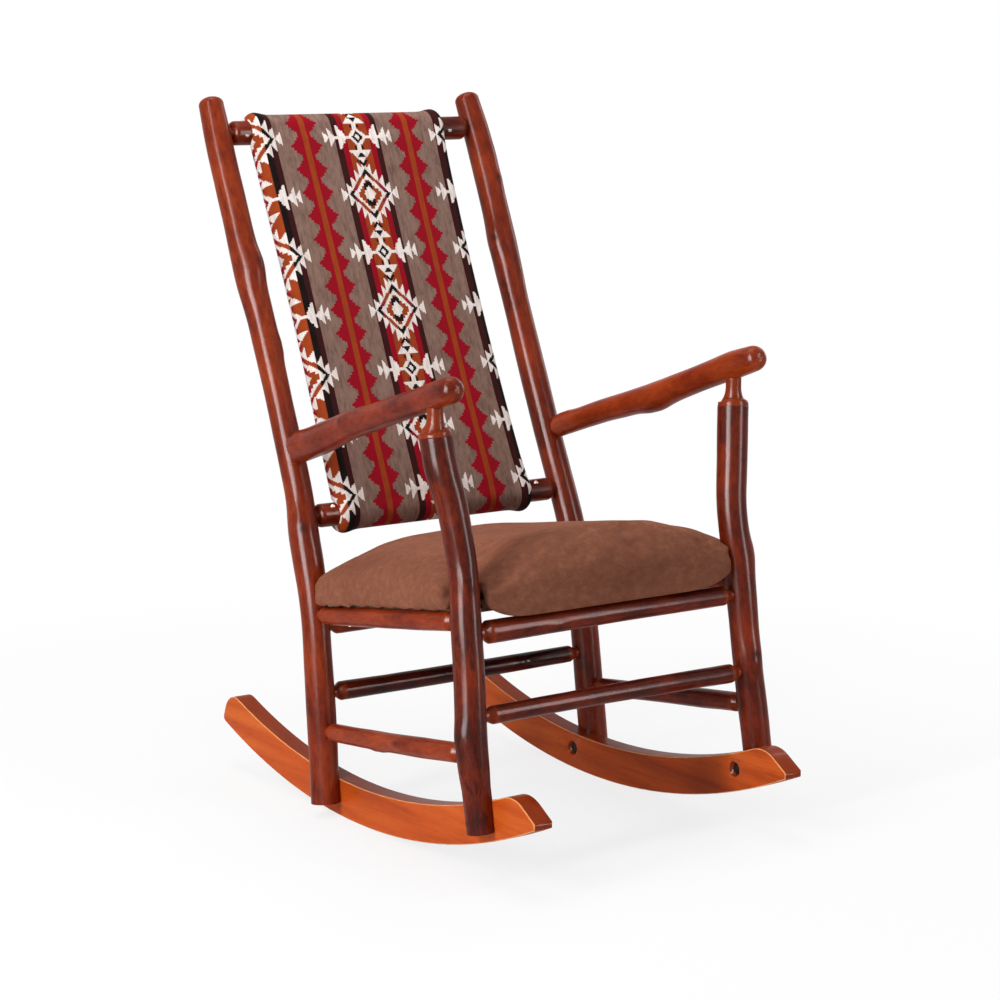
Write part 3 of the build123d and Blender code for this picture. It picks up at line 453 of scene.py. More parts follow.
def hickory_finish():
    material, tree, shader = finish("hickory_stain", Coat_Weight=0.18, Coat_Roughness=0.2,
                                    Specular_IOR_Level=0.02)
    place = named(tree, "grain", "Vector")
    tone, turned, knot, patchy = [named(tree, name) for name in ("tone", "turned", "knot", "blotch")]
    cloud = grain(tree, place, (26, 26, 12), detail=2)
    fibre = grain(tree, place, (420, 420, 18), detail=4, seed=3)
    mottle = grain(tree, place, (150, 150, 60), detail=6, roughness=0.75, seed=5)
    level = sums(tree, "MULTIPLY_ADD", cloud, 0.6, 0.2)
    for pattern, weight in ((fibre, 0.12), (mottle, 0.5)):
        level = sums(tree, "MULTIPLY_ADD", sums(tree, "SUBTRACT", pattern, 0.5), weight, level)
    # each pole's tone shifts it lighter or darker: partly stain, partly painted light and shade
    level = sums(tree, "ADD", level, tone)
    colour = shades(tree, level, [(0.22, POLE_SHADES["deep"]), (0.4, POLE_SHADES["dark"]),
                                  (0.56, POLE_SHADES["red"]), (0.78, POLE_SHADES["warm"])])
    # thin bark left under the stain, in long broken flecks
    fleck = grain(tree, place, (110, 110, 22), detail=6, roughness=0.7, distortion=0.8, seed=7)
    bark = wire(tree, "ShaderNodeMapRange", {"Value": fleck, "From Min": 0.52, "From Max": 0.6}).outputs[0]
    flaked = times(tree, bark, patchy)
    colour = blend(tree, times(tree, bark, times(tree, patchy, 0.85)), colour, dye(POLE_SHADES["deep"]))
    turned_wood = blend(tree, fibre, dye(POLE_SHADES["red"]), dye(POLE_SHADES["turned"]))
    colour = blend(tree, times(tree, turned, 0.75), colour, turned_wood)
    colour = blend(tree, times(tree, knot, 0.8), colour, dye(POLE_SHADES["knot"]))
    tint(tree, shader, colour, sums(tree, "MULTIPLY_ADD", flaked, 0.22, 0.3))
    skin = grain(tree, place, (260, 260, 60), detail=5, roughness=0.6, seed=11)
    height = sums(tree, "ADD", times(tree, fibre, 0.4), skin)
    height = sums(tree, "ADD", height, times(tree, flaked, 0.8))
    relief(tree, shader, height, 0.0003, 0.45)
    return material


hickory = hickory_finish()
sweep_tree = pole_tree()


def domed(centres, radii, depth):
    """Adds a rubbed-over end past the last point of a line."""
    ahead = unit(centres[-1] - centres[-5])
    turns = np.linspace(0.12, pi / 2, 10)
    return (np.concatenate([centres, centres[-1] + ahead * depth * np.sin(turns)[:, None]]),
            np.concatenate([radii, radii[-1] * np.maximum(np.cos(turns), 0.0004) ** 0.8]))


pole_lines = {}


def make_pole(node, centres, radii, turned):
    pole_lines[node] = centres, radii
    piece = line_of("pole_" + node, centres, girth=radii, turned=turned)
    rung = node in RUNGS
    grow(piece, sweep_tree, Sides=36 if rung else 48, Ripple=0.0004 if rung else 0.0007,
         Ripple_Length=0.09 if rung else 0.15, Seed=sorted(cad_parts).index(node), Finish=hickory)
    raise_knots(piece, centres, KNOTS.get(node, []), *POLE_TONE.get(node, (0.0, 0.25)))
    return piece


RUNG_TURNING = 0.044         # turned length at each end of a rung, and what it runs out over
RUNG_RUN_OUT = 0.006
RAIL_TENON = 0.0095          # radius of the tenons on the back rails
RAIL_SHOULDER = 0.022        # how far from its end a back rail swells to its girth, and over what length
RAIL_SWELL = 0.011

for node in RUNGS:
    centres, radii = pole_line(node, 0.002)
    centres = even(centres, 5)
    span = travelled(centres)
    from_end = np.minimum(span, span[-1] - span)
    turned = np.clip((RUNG_TURNING - from_end) / RUNG_RUN_OUT, 0, 1)
    if node.startswith("back"):
        # on the two thick back rails the taper sits close to the post and is stained as dark as the rest
        girth = np.median(radii)
        swell = np.clip((from_end - RAIL_SHOULDER) / RAIL_SWELL, 0, 1)
        radii = girth - (girth - RAIL_TENON) * (1 - swell) ** 2.4
        turned *= 0.2
    joins(make_pole(node, centres, radii, turned), hickory, "hickory", node)

ARM_TILT = {"arm_right": 0.0, "arm_left": 0.017}     # the left arm was scribed a little steeper
ARM_KNOB = 0.09              # an arm is thicker by this share at its front end
ARM_BACK_DOME = 0.02         # length of the rubbed-over back end

for node in ARMS:
    # the front end is a rubbed-over knob; the back end is scribed to the back post and rubbed over
    centres, radii = pole_line(node, 0.003)
    order = slice(None) if centres[0, 1] > centres[-1, 1] else slice(None, None, -1)
    centres, radii = centres[order], radii[order]
    low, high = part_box(node)
    body = (centres[:, 1] < high.y - 0.046) & (centres[:, 1] > low.y + 0.016)
    centres, radii = even(centres[body], 6), even(radii[body], 3)
    share = (centres[:, 1] - low.y) / (high.y - low.y)
    radii *= 1 + ARM_KNOB * np.exp(-(share / 0.12) ** 2)
    centres[:, 2] += ARM_TILT[node] * (0.45 - share)
    front = unit(centres[-1] - centres[-5])
    centres, radii = domed(centres, radii, (centres[-1, 1] - low.y - 0.0008) / -front[1])
    centres, radii = domed(centres[::-1], radii[::-1], ARM_BACK_DOME)
    joins(make_pole(node, centres, radii, np.zeros(len(radii))), hickory, "hickory", node)

POST_TURNING = 0.0725        # turned length at the top of a front post
POST_DOME = 0.013            # height of a back post's rubbed-over top
POST_CHEEK = 0.07            # the foot is cut away beside the rocker up to here

for node in POSTS:
    centres, radii = pole_line(node, 0.003)
    if centres[0, 2] > centres[-1, 2]:
        centres, radii = centres[::-1], radii[::-1]
    low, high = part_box(node)
    front = node.startswith("front")
    grown = centres[:, 2] < (high.z - POST_TURNING if front else high.z)
    centres[grown], radii[grown] = even(centres[grown], 8), even(radii[grown], 4)
    if front:
        # the turned top: a crisp rounded shoulder, a hollow flare and the round tenon
        body = grown.sum() - 1
        steps = np.arange(body, len(radii) - 1, 0.25)
        fine = np.stack([np.interp(steps, np.arange(len(radii)), centres[:, axis]) for axis in range(3)], 1)
        girth = np.interp(steps, np.arange(len(radii)), radii)
        over = np.clip((steps - body) / 1.9, 0, 1)
        drop = radii[body] - np.interp(body + 2, np.arange(len(radii)), radii)
        girth = np.where(over < 1, radii[body] - drop * (1 - np.sqrt(np.maximum(1 - over ** 5, 0))), girth)
        centres, radii = np.concatenate([centres[:body], fine]), np.concatenate([radii[:body], girth])
        grown = np.arange(len(radii)) < body + 10
    else:
        lean = unit(centres[-1] - centres[-12])
        top = sqrt((POST_DOME * lean[2]) ** 2 + radii[-1] ** 2 * (1 - lean[2] ** 2))
        kept = centres[:, 2] < high.z - top - 0.0005
        gap = (high.z - top - centres[kept][-1, 2]) / lean[2]
        centres = np.concatenate([centres[kept], centres[kept][-1:] + lean * gap])
        radii = np.concatenate([radii[kept], radii[kept][-1:]])
        centres, radii = domed(centres, radii, POST_DOME)
        grown = np.ones(len(radii), bool)
    above_foot = centres[:, 2] > low.z + POST_CHEEK
    centres, radii, grown = centres[above_foot], radii[above_foot], grown[above_foot]
    down = unit(centres[0] - centres[10])
    drop = (centres[0, 2] - low.z - radii[0] * sqrt(1 - down[2] ** 2)) / -down[2]
    steps = np.arange(0.003, drop, 0.003)[::-1]
    centres = np.concatenate([centres[0] + down * steps[:, None], centres])
    radii = np.concatenate([np.full(len(steps), radii[0]), radii])
    turned = np.concatenate([np.zeros(len(steps)), 1.0 - grown])
    joins(make_pole(node, centres, radii, turned), hickory, "hickory", node)

# ---- seat -----------------------------------------------------------------------------------------
# A plywood deck screwed up through the side rails, a black dust cloth tacked under it, and one thick
# foam pad on top in brown faux suede. The suede is drawn round the deck's edges and stapled, cut
# round the four posts and tucked, so the pad puffs out between them.
PLY = {"face": (196, 156, 104), "dark": (150, 108, 66)}
SUEDE = {"shade": (94, 52, 38), "body": (128, 78, 58), "brushed": (166, 112, 86)}
SUEDE_PRESSURE = 4.0         # the stuffing's push, and how far it may move the cover out
SUEDE_CAP = 0.009
# the suede at a deck's edge is given a darker tone, painted shade for the gap under the pad
WRAPPED_EDGE_SHADED = (96, 56, 42)  # suede that shows at a deck's edge
DECK_INSET = 0.005           # the deck ends this far inside the suede


def up_face(node):
    """Upward normal of a flat board, and a point on that face."""
    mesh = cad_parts[node].data
    upper = [polygon for polygon in mesh.polygons if polygon.normal.z > 0.7]
    broad = max(upper, key=lambda polygon: polygon.area)
    return np.array(broad.normal), np.array(broad.center)


def plywood_finish(name, normal, ply):
    material, tree, shader = finish(name)
    place = spot(tree)
    figure = grain(tree, place, (60, 4, 60), detail=5, distortion=1.2)
    colour = shades(tree, figure, [(0.35, PLY["dark"]), (0.6, PLY["face"])])
    depth = wire(tree, "ShaderNodeVectorMath", {0: place, 1: normal},
                 operation="DOT_PRODUCT").outputs["Value"]
    layer = sums(tree, "SINE", times(tree, depth, 2 * pi / ply))
    colour = blend(tree, sums(tree, "MULTIPLY_ADD", layer, 0.14, 0.16), colour, dye(PLY["dark"]))
    # where the suede is drawn round an edge, that edge shows suede, darkened by painted shade
    colour = blend(tree, named(tree, "wrapped"), colour, dye(WRAPPED_EDGE_SHADED))
    tint(tree, shader, colour, sums(tree, "MULTIPLY_ADD", figure, 0.2, 0.6))
    relief(tree, shader, grain(tree, place, (300, 14, 300), seed=4), 0.0003, 0.6)
    return material


def dust_cloth_finish():
    material, tree, shader = finish("dust_cloth", Sheen_Weight=0.25)
    place = spot(tree)
    felt = grain(tree, place, (700, 700, 700), detail=4, roughness=0.7)
    colour = shades(tree, felt, [(0.3, (16, 15, 15)), (0.7, (44, 42, 42))])
    tint(tree, shader, colour, sums(tree, "MULTIPLY_ADD", felt, 0.2, 0.75))
    relief(tree, shader, felt, 0.0004, 0.8)
    return material


def suede_finish():
    material, tree, shader = finish("faux_suede", Sheen_Weight=0.1, Sheen_Roughness=0.4,
                                    Specular_IOR_Level=0.05)
    shader.inputs["Sheen Tint"].default_value = dye((214, 160, 136))
    place = spot(tree)
    nap = grain(tree, place, (7, 7, 9), detail=3, roughness=0.5)
    strokes = grain(tree, place, (60, 85, 85), detail=9, roughness=0.74, distortion=0.2, seed=4)
    level = sums(tree, "MULTIPLY_ADD", sums(tree, "SUBTRACT", nap, 0.5), 0.45, strokes)
    colour = shades(tree, level, [(0.08, SUEDE["shade"]), (0.5, SUEDE["body"]), (0.92, SUEDE["brushed"])])
    fuzz = grain(tree, place, (2600, 2600, 2600), detail=3, roughness=0.7, seed=9)
    colour = blend(tree, times(tree, fuzz, 0.3), colour, dye(SUEDE["shade"]))
    tint(tree, shader, colour, sums(tree, "MULTIPLY_ADD", nap, 0.15, 0.78))
    relief(tree, shader, sums(tree, "MULTIPLY_ADD", strokes, 0.6, fuzz), 0.0005, 0.5)
    return material


def positions(mesh):
    values = np.zeros(len(mesh.vertices) * 3, np.float32)
    mesh.vertices.foreach_get("co", values)
    return values.reshape(-1, 3).astype(float)


def place_points(mesh, points):
    mesh.vertices.foreach_set("co", points.astype(np.float32).ravel())
    mesh.update()


def stuffed(piece, held, pressure, cap, frames=20):
    """Blows a cover up against its own cloth: held points stay, the others move at most the cap."""
    before = positions(piece.data)
    group = piece.vertex_groups.new(name="held")
    group.add(np.nonzero(held)[0].tolist(), 1.0, "REPLACE")
    cloth = piece.modifiers.new("cover", "CLOTH")
    cloth.settings.quality = 5
    cloth.settings.mass = 0.3
    cloth.settings.tension_stiffness = 18
    cloth.settings.bending_stiffness = 1.2
    cloth.settings.use_pressure = True
    cloth.settings.uniform_pressure_force = pressure
    cloth.settings.vertex_group_mass = "held"
    cloth.settings.effector_weights.gravity = 0
    cloth.point_cache.frame_start, cloth.point_cache.frame_end = 1, frames
    scene = bpy.context.scene
    for step in range(1, frames + 1):
        scene.frame_set(step)
    settle(piece)
    scene.frame_set(1)
    piece.vertex_groups.clear()
    moved = positions(piece.data) - before
    far = np.linalg.norm(moved, axis=1)
    moved *= (np.minimum(far, cap) / np.maximum(far, 1e-9))[:, None]
    moved[held] = 0
    place_points(piece.data, before + moved)


def clear_of(points, node, gap):
    """Moves points out of a pole, straight away from its line."""
    centres, radii = pole_lines[node]
    low, high = centres.min(0) - 0.08, centres.max(0) + 0.08
    near = np.nonzero(((points > low) & (points < high)).all(1))[0]
    for start in range(0, len(near), 4000):
        part = near[start:start + 4000]
        away = points[part][:, None] - centres[None]
        distance = np.linalg.norm(away, axis=2)
        closest = distance.argmin(1)
        span = distance[range(len(part)), closest]
        need = radii[closest] + gap
        inside = span < need
        push = away[range(len(part)), closest] / np.maximum(span, 1e-6)[:, None]
        points[part[inside]] += (push * (need - span)[:, None])[inside]
    return points


def sliced(mesh, cuts):
    """Cuts a mesh across by planes, each given as a point and a direction."""
    solid = bmesh.new()
    solid.from_mesh(mesh)
    for point, way in cuts:
        bmesh.ops.bisect_plane(solid, geom=solid.verts[:] + solid.edges[:] + solid.faces[:],
                               plane_co=point, plane_no=way)
    solid.to_mesh(mesh)
    solid.free()


def relaxed(piece, free, rounds):
    """Evens out some of a piece's points, and gives all of them."""
    piece.vertex_groups.new(name="free").add(np.nonzero(free)[0].tolist(), 1.0, "REPLACE")
    ease = piece.modifiers.new("ease", "SMOOTH")
    ease.vertex_group = "free"
    ease.factor, ease.iterations = 0.5, rounds
    settle(piece)
    piece.vertex_groups.clear()
    return positions(piece.data)


def beside(node, points, height, reach):
    """How near points are to a post at a height, 1 at its line; and that line's place there."""
    line = pole_lines[node][0]
    axis = line[abs(line[:, 2] - height).argmin()]
    return np.exp(-(np.linalg.norm(points[:, :2] - axis[:2], axis=1) / reach) ** 2), axis


def dressed(node, material):
    """A CAD node whose shape is right keeps it and gets its finish."""
    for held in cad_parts[node].material_slots:
        held.material = material


deck_up, deck_point = up_face("seat_deck")
deck = merged_copy("seat_deck", "seat_plywood_deck")
bare = positions(deck.data)
inward = np.zeros(bare.shape)
wrapped = [abs(np.array(polygon.normal) @ deck_up) < 0.5 for polygon in deck.data.polygons]
for polygon, is_edge in zip(deck.data.polygons, wrapped):
    if is_edge:
        inward[list(polygon.vertices)] -= np.array(polygon.normal)
marked(deck.data, "wrapped", wrapped)
length = np.maximum(np.linalg.norm(inward, axis=1), 1e-9)[:, None]
place_points(deck.data, bare + inward / length * DECK_INSET * (length > 1e-6))
crisp(deck.data, 30)
joins(deck, plywood_finish("seat_plywood", deck_up, 0.0048), "plywood", "seat_deck")

# the dust cloth lies flat against the deck between the rails, a little slack
cambric = dust_cloth_finish()
dust_cloth = merged_copy("seat_lining", "seat_dust_cloth")
low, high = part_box("seat_lining")
CLOTH_STEP = 0.02            # rows and columns that the slack is given to
CLOTH_SLACK = 0.0022         # it hangs away by this for each unit of its noise, which is 0 to 2
sliced(dust_cloth.data, [(way * cut, way) for way, start, end in
                         ((Vector((1, 0, 0)), low.x, high.x), (Vector((0, 1, 0)), low.y, high.y))
                         for cut in np.arange(start + CLOTH_STEP, end - 0.005, CLOTH_STEP)])
points = positions(dust_cloth.data)
slack = np.array([noise.noise(Vector(point) * 14) + noise.noise(Vector(point) * 37) * 0.4
                  for point in points])
edge = np.minimum.reduce([points[:, 0] - low.x, high.x - points[:, 0],
                          points[:, 1] - low.y, high.y - points[:, 1]])
points -= deck_up * (np.clip(slack + 0.6, 0, 2) * np.clip(edge / 0.04, 0, 1) * CLOTH_SLACK)[:, None]
place_points(dust_cloth.data, points)
crisp(dust_cloth.data, 40)
joins(dust_cloth, cambric, "lining_cloth", "seat_lining")

# the pad: skinned, blown up a little against its cover, then eased clear of the wood
PAD_FACE = 0.006             # size of the pad's faces, halved at the end
PAD_DEPTH = 0.09             # foam over the deck
SIDE_PUFF = 0.011            # it swells this far over the side rails
BACK_PUFF = 0.008
CORNER_DROP = {"front_post_right": 0.034, "front_post_left": 0.022}     # it sinks beside the posts
BACK_DROP = 0.006
CROWN_DROP = 0.006           # worn hollow in the middle
CORNER_LIFT = 0.034          # the lower edge is pulled up this far at the front corners
EDGE_TURN = 0.0015           # suede that reaches down over the deck's edge
PAD_WAVE = 0.0022            # unevenness of the foam
WOOD_GAP = 0.0012            # the suede keeps this clear of the poles
pad = merged_copy("seat_pad", "seat_cushion")
skin = pad.modifiers.new("skin", "REMESH")
skin.mode = "VOXEL"
skin.voxel_size = PAD_FACE
settle(pad)
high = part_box("seat_pad")[1]
points = positions(pad.data)
over_deck = (points - deck_point) @ deck_up
puffed = np.sin(pi * np.clip((over_deck + 0.004) / 0.086, 0, 1))
at_side = np.clip((abs(points[:, 0]) - 0.17) / 0.07, 0, 1)
points[:, 0] += np.sign(points[:, 0]) * SIDE_PUFF * puffed * at_side
points[:, 1] += BACK_PUFF * puffed * np.clip((points[:, 1] - high.y + 0.06) / 0.05, 0, 1)
for node in POSTS:
    near = beside(node, points, 0.45, 0.085)[0]
    drop = CORNER_DROP.get(node, BACK_DROP)
    points -= deck_up * (near * np.clip(over_deck / PAD_DEPTH, 0, 1) * drop)[:, None]
crown = np.exp(-((points[:, 0] / 0.2) ** 2 + ((points[:, 1] - 0.02) / 0.22) ** 2))
points -= deck_up * (crown * np.clip(over_deck / PAD_DEPTH, 0, 1) * CROWN_DROP)[:, None]
place_points(pad.data, points)
held = over_deck < 0.002
relaxed(pad, ~held, 40)
stuffed(pad, held, SUEDE_PRESSURE, SUEDE_CAP)
over_deck = (positions(pad.data) - deck_point) @ deck_up
# its lower edge is drawn straight by the staples
points = relaxed(pad, over_deck < 0.016, 10)
over_deck = (points - deck_point) @ deck_up
# the suede goes over the deck's edge, and it is pulled up at the front corners, clear of the rail
solid_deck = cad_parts["seat_deck"].data
deck_tree = BVHTree.FromPolygons([list(vertex.co) for vertex in solid_deck.vertices],
                                 [list(polygon.vertices) for polygon in solid_deck.polygons])
for index in np.nonzero(over_deck < 0.02)[0]:
    away = Vector(points[index]) - deck_tree.find_nearest(Vector(points[index]))[0]
    past = (away - Vector(deck_up) * away.dot(Vector(deck_up))).length
    low_down = 1 - max(over_deck[index], 0) / 0.02
    points[index] -= deck_up * (EDGE_TURN * min(past / 0.006, 1) * low_down)
for node in CORNER_DROP:
    near, axis = beside(node, points, 0.42, 0.05)
    near *= points[:, 1] < axis[1] + 0.02
    points += deck_up * (near * np.clip((CORNER_LIFT - over_deck) / 0.05, 0, 1) * CORNER_LIFT)[:, None]
for node in POSTS:
    points = clear_of(points, node, WOOD_GAP)

# tucks where the suede is pulled round the front posts: start, end, width and depth
TUCKS = [((-0.236, -0.335, 0.398), (-0.222, -0.345, 0.432), 0.005, 0.006),
         ((-0.222, -0.335, 0.394), (-0.190, -0.345, 0.416), 0.006, 0.004),
         ((0.240, -0.335, 0.398), (0.222, -0.345, 0.440), 0.005, 0.006),
         ((0.228, -0.335, 0.396), (0.196, -0.345, 0.424), 0.006, 0.004),
         ((-0.262, -0.292, 0.415), (-0.290, -0.262, 0.404), 0.008, 0.004),
         ((0.262, -0.292, 0.415), (0.290, -0.262, 0.404), 0.008, 0.004)]
middle = points.mean(0)
for start, end, wide, deep in TUCKS:
    start, end = np.array(start), np.array(end)
    run = end - start
    part = np.clip((points - start) @ run / (run @ run), 0, 1)
    miss = np.linalg.norm(points - start - part[:, None] * run, axis=1)
    groove = np.exp(-(miss / wide) ** 2) * (1 - 0.6 * part) * deep
    inward = middle - points
    points += inward / np.linalg.norm(inward, axis=1)[:, None] * groove[:, None]
wave = np.array([noise.noise(Vector(point) * 9) for point in points])
points += deck_up * (wave * np.clip(over_deck / 0.05, 0, 1) * PAD_WAVE)[:, None]
place_points(pad.data, points)
fine = pad.modifiers.new("fine", "SUBSURF")
fine.levels = fine.render_levels = 1
settle(pad)
pad.data.shade_smooth()
joins(pad, suede_finish(), "seat_cloth", "seat_pad")

# ---- back -----------------------------------------------------------------------------------------
# A plywood board let into the two back rails, foam in front, and one woven wool cover pulled over
# the face, round both rails and round the board's edges. It is a traditional trade-blanket weave:
# bands of stepped diamonds on heathered taupe, one woven step to each face of the mesh.
YARN = {"taupe": (116, 86, 77), "red": (148, 10, 30), "rust": (152, 62, 26), "cream": (234, 222, 216),
        "black": (20, 14, 13), "maroon": (54, 20, 20), "crimson": (140, 20, 44)}
STEP_ACROSS = 0.208 / 96     # one woven step, across and along
STEP_ALONG = 0.208 / 80
COVER_LOW_WRAP = 0.0292      # outside of the cover round the lower rail
COVER_TOP_WRAP = 0.0302
COVER_SAG = 0.0025           # the face dips this much between the rails
COVER_EDGE = 0.015           # roundness of the side edges
COVER_CORNER = 0.0042        # the folded corners are this much thicker
COVER_WAIST = 0.007          # the sides pull in this much half way up
COVER_CROWN = 0.003          # the face is this much fuller along its middle
COVER_TUCK = 0.014           # the side edges reach this far in behind the board, at this depth
TUCK_DEPTH = 0.0092
MOTIF_SHIFT = (3.0, 120.5)   # millimetres from the cloth's middle and lower end to a motif's middle
BOARD_INSET = 0.008          # the board and the dust cloth end inside the cover
LINING_INSET = 0.014
REPEAT = 208                 # millimetres after which the weave repeats, both ways


def fins(dx, dy, rows):
    """Flags that point at the middle of a motif: (near edge, width, half height) in millimetres."""
    shape = np.zeros(dx.shape, bool)
    for near, width, half in rows:
        part = (dx - near) / width
        shape |= (part > 0) & (part <= 1) & (dy < half * (np.floor(part * 6) + 0.7) / 6)
    return shape


def weave(across, along):
    """Yarn number at places of the cloth in millimetres, counted from the middle of a motif."""
    yarn = list(YARN)
    half = REPEAT / 2
    column = np.round(across / REPEAT)
    outer = column != 0
    dx = abs(across - column * REPEAT)
    to_big = abs((along + np.where(outer, half, 0)) % REPEAT - half)
    to_small = half - to_big
    cloth = np.full(across.shape, yarn.index("taupe"))

    def lay(where, name, name_outside=None):
        cloth[where] = yarn.index(name)
        cloth[where & outer] = yarn.index(name_outside or name)

    # stacked stepped diamonds with a stripe up the middle, half way between the motifs
    off = half - dx
    rise = abs((along + 14.5 + 20.8) % 41.6 - 20.8)
    lay(off < 30.5 - 4.4 * np.round(rise / 4.6), "red")
    lay(off < 5.8, "rust")
    # bands behind the motifs
    lay(dx < 45.5, "maroon")
    lay(dx < 34, "red", "black")
    lay(dx < 22.5, "rust")
    # cream flames that rise from the big diamond's four sides
    edge = to_big - 45 * (1 - dx / 42)
    saw = ((dx - 2.2) / 10.6) % 1
    lay((dx > 2.2) & (dx < 44.6) & (edge > 0) & (edge < 2.5 + 22 * saw), "cream")
    # small diamond on its cross, with three flags out to each side
    lay((to_small < 2.6) & (dx < 46), "cream")
    lay(dx + to_small < 19.5, "cream")
    lay((dx < 4.5) & (to_small < 26), "cream")
    lay((abs(to_small - 20.5) < 2.7) & (abs(dx - 6.7) < 2.2), "black", "red")
    lay(fins(dx, to_small, [(21.5, 18, 24), (43, 14.5, 18), (57, 12, 12.5)]), "cream")
    ring = dx / 11 + to_small / 12.5
    lay((ring > 0.42) & (ring < 1), "black", "crimson")
    # triangle and chevron that tie the small diamond to the big one
    lay((to_small > 25.5) & (dx < 47.5 - to_small), "cream")
    lay((to_small > 28.5) & (to_small < 37.5) & (dx < to_small - 28), "black", "red")
    lay((to_small > 42) & (dx >= 47.5 - to_small) & (dx < 54.5 - to_small), "black", "red")
    lay((to_small > 47) & (to_small < 62) & (dx >= 54.5 - to_small) & (dx < 4.5) & (edge > 0), "cream")
    # big diamond: outline in the bands' colours, cream, stepped heart
    big = dx / 42 + to_big / 45
    lay(big < 1, "crimson", "black")
    lay((big < 1) & (dx > 32), "black")
    lay((big < 1) & (dx < 23), "rust")
    lay((big < 1) & (dx < 8), "black", "red")
    lay(big < 0.79, "cream")
    lay((np.floor(dx / 4.4) * 4.4 / 24 + np.floor(to_big / 5.2) * 5.2 / 27 < 0.84) & (dx < 22.5), "rust")
    lay((dx < 8.5) & (to_big > 8) & (to_big < 19.5), "black", "crimson")
    lay((dx < 5.5) & (to_big > 8) & (to_big < 22.5), "black", "crimson")
    lay(dx / 12 + to_big / 14 < 1, "cream")
    lay((dx < 8.5) & (to_big < 8) | (dx < 4.5) & (to_big < 11), "cream")
    lay(fins(dx, to_big, [(45, 12.5, 12.5)]), "cream")
    return cloth


def wool_finish():
    material, tree, shader = finish("woven_wool", Sheen_Weight=0.02, Sheen_Roughness=0.5,
                                    Specular_IOR_Level=0.02)
    cloth = wire(tree, "ShaderNodeUVMap", uv_map="cloth").outputs[0]
    number = sums(tree, "MULTIPLY_ADD", named(tree, "yarn"), 1 / 8, 1 / 16)
    colour = shades(tree, number, [(index / 8, shade) for index, shade in enumerate(YARN.values())],
                    "CONSTANT")
    # the taupe ground is spun from light and dark fleece, so it shows upright flecks
    ground = sums(tree, "LESS_THAN", number, 1 / 8)
    slub = grain(tree, cloth, (170, 42, 1), detail=5, roughness=0.72, distortion=0.3)
    mottle = grain(tree, cloth, (60, 30, 1), detail=3, seed=6)
    dark = wire(tree, "ShaderNodeMapRange", {"Value": slub, "From Min": 0.54, "From Max": 0.42}).outputs[0]
    dark = times(tree, dark, sums(tree, "MULTIPLY_ADD", ground, 0.6, 0.2))
    colour = blend(tree, dark, colour, dye((52, 32, 28)))
    colour = blend(tree, times(tree, times(tree, mottle, ground), 0.75), colour, dye((158, 128, 114)))
    fleece = grain(tree, cloth, (900, 700, 1), detail=3, seed=3)
    tint(tree, shader, colour, sums(tree, "MULTIPLY_ADD", fleece, 0.15, 0.8))
    ribs = wire(tree, "ShaderNodeTexWave", {"Vector": cloth, "Scale": 124, "Distortion": 1.2, "Detail": 2},
                bands_direction="Y").outputs[1]
    height = sums(tree, "MULTIPLY_ADD", ribs, 0.15, sums(tree, "MULTIPLY_ADD", fleece, 0.5, slub))
    relief(tree, shader, height, 0.0007, 0.6)
    return material


low_rail = pole_lines["back_rail_bottom"][0]
top_rail = pole_lines["back_rail_top"][0]
low_middle, top_middle = [line[len(line) // 4:-len(line) // 4].mean(0) * [0, 1, 1]
                          for line in (low_rail, top_rail)]
rise = top_middle - low_middle
panel_height = np.linalg.norm(rise)
panel_up = rise / panel_height
panel_front = np.cross((1, 0, 0), panel_up)
left_edge, right_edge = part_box("back_pad")[0].x + 0.004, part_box("back_pad")[1].x - 0.009
half_width = (right_edge - left_edge) / 2
panel_middle = np.array([(left_edge + right_edge) / 2, 0, 0]) + low_middle

# the cover's way round both rails, seen from the side, in even steps
low_arc = [(COVER_LOW_WRAP * cos(turn), COVER_LOW_WRAP * sin(turn))
           for turn in np.linspace(pi, 1.98 * pi, 40)]
top_arc = [(COVER_TOP_WRAP * cos(turn), panel_height + COVER_TOP_WRAP * sin(turn))
           for turn in np.linspace(0.02 * pi, pi, 40)]
face = [(COVER_LOW_WRAP + (COVER_TOP_WRAP - COVER_LOW_WRAP) * share - COVER_SAG * (1 - (2 * share - 1) ** 4),
         panel_height * share) for share in np.linspace(0.01, 0.99, 60)]
way = np.array(low_arc + face + top_arc)
run = travelled(way)
rows = round(run[-1] / STEP_ALONG)
along = np.linspace(0, run[-1], rows + 1)
way = np.stack([np.interp(along, run, way[:, 0]), np.interp(along, run, way[:, 1])], 1)
way = even(way, 3)
ahead = np.gradient(way, axis=0)
out = np.stack([ahead[:, 1], -ahead[:, 0]], 1)
out /= np.linalg.norm(out, axis=1)[:, None]
height = way[:, 1]
on_face = np.clip(np.minimum(height - 0.006, panel_height - height - 0.006) / 0.022, 0, 1)
on_face = on_face ** 2 * (3 - 2 * on_face)
THIN, THICK = 0.0104, 0.0198     # of the padding and cloth, round the rails and on the face
thick = THIN + (THICK - THIN) * on_face
below = TUCK_DEPTH * on_face
wrap = 1 - np.clip(np.minimum(height, panel_height - height) / 0.06, 0, 1)

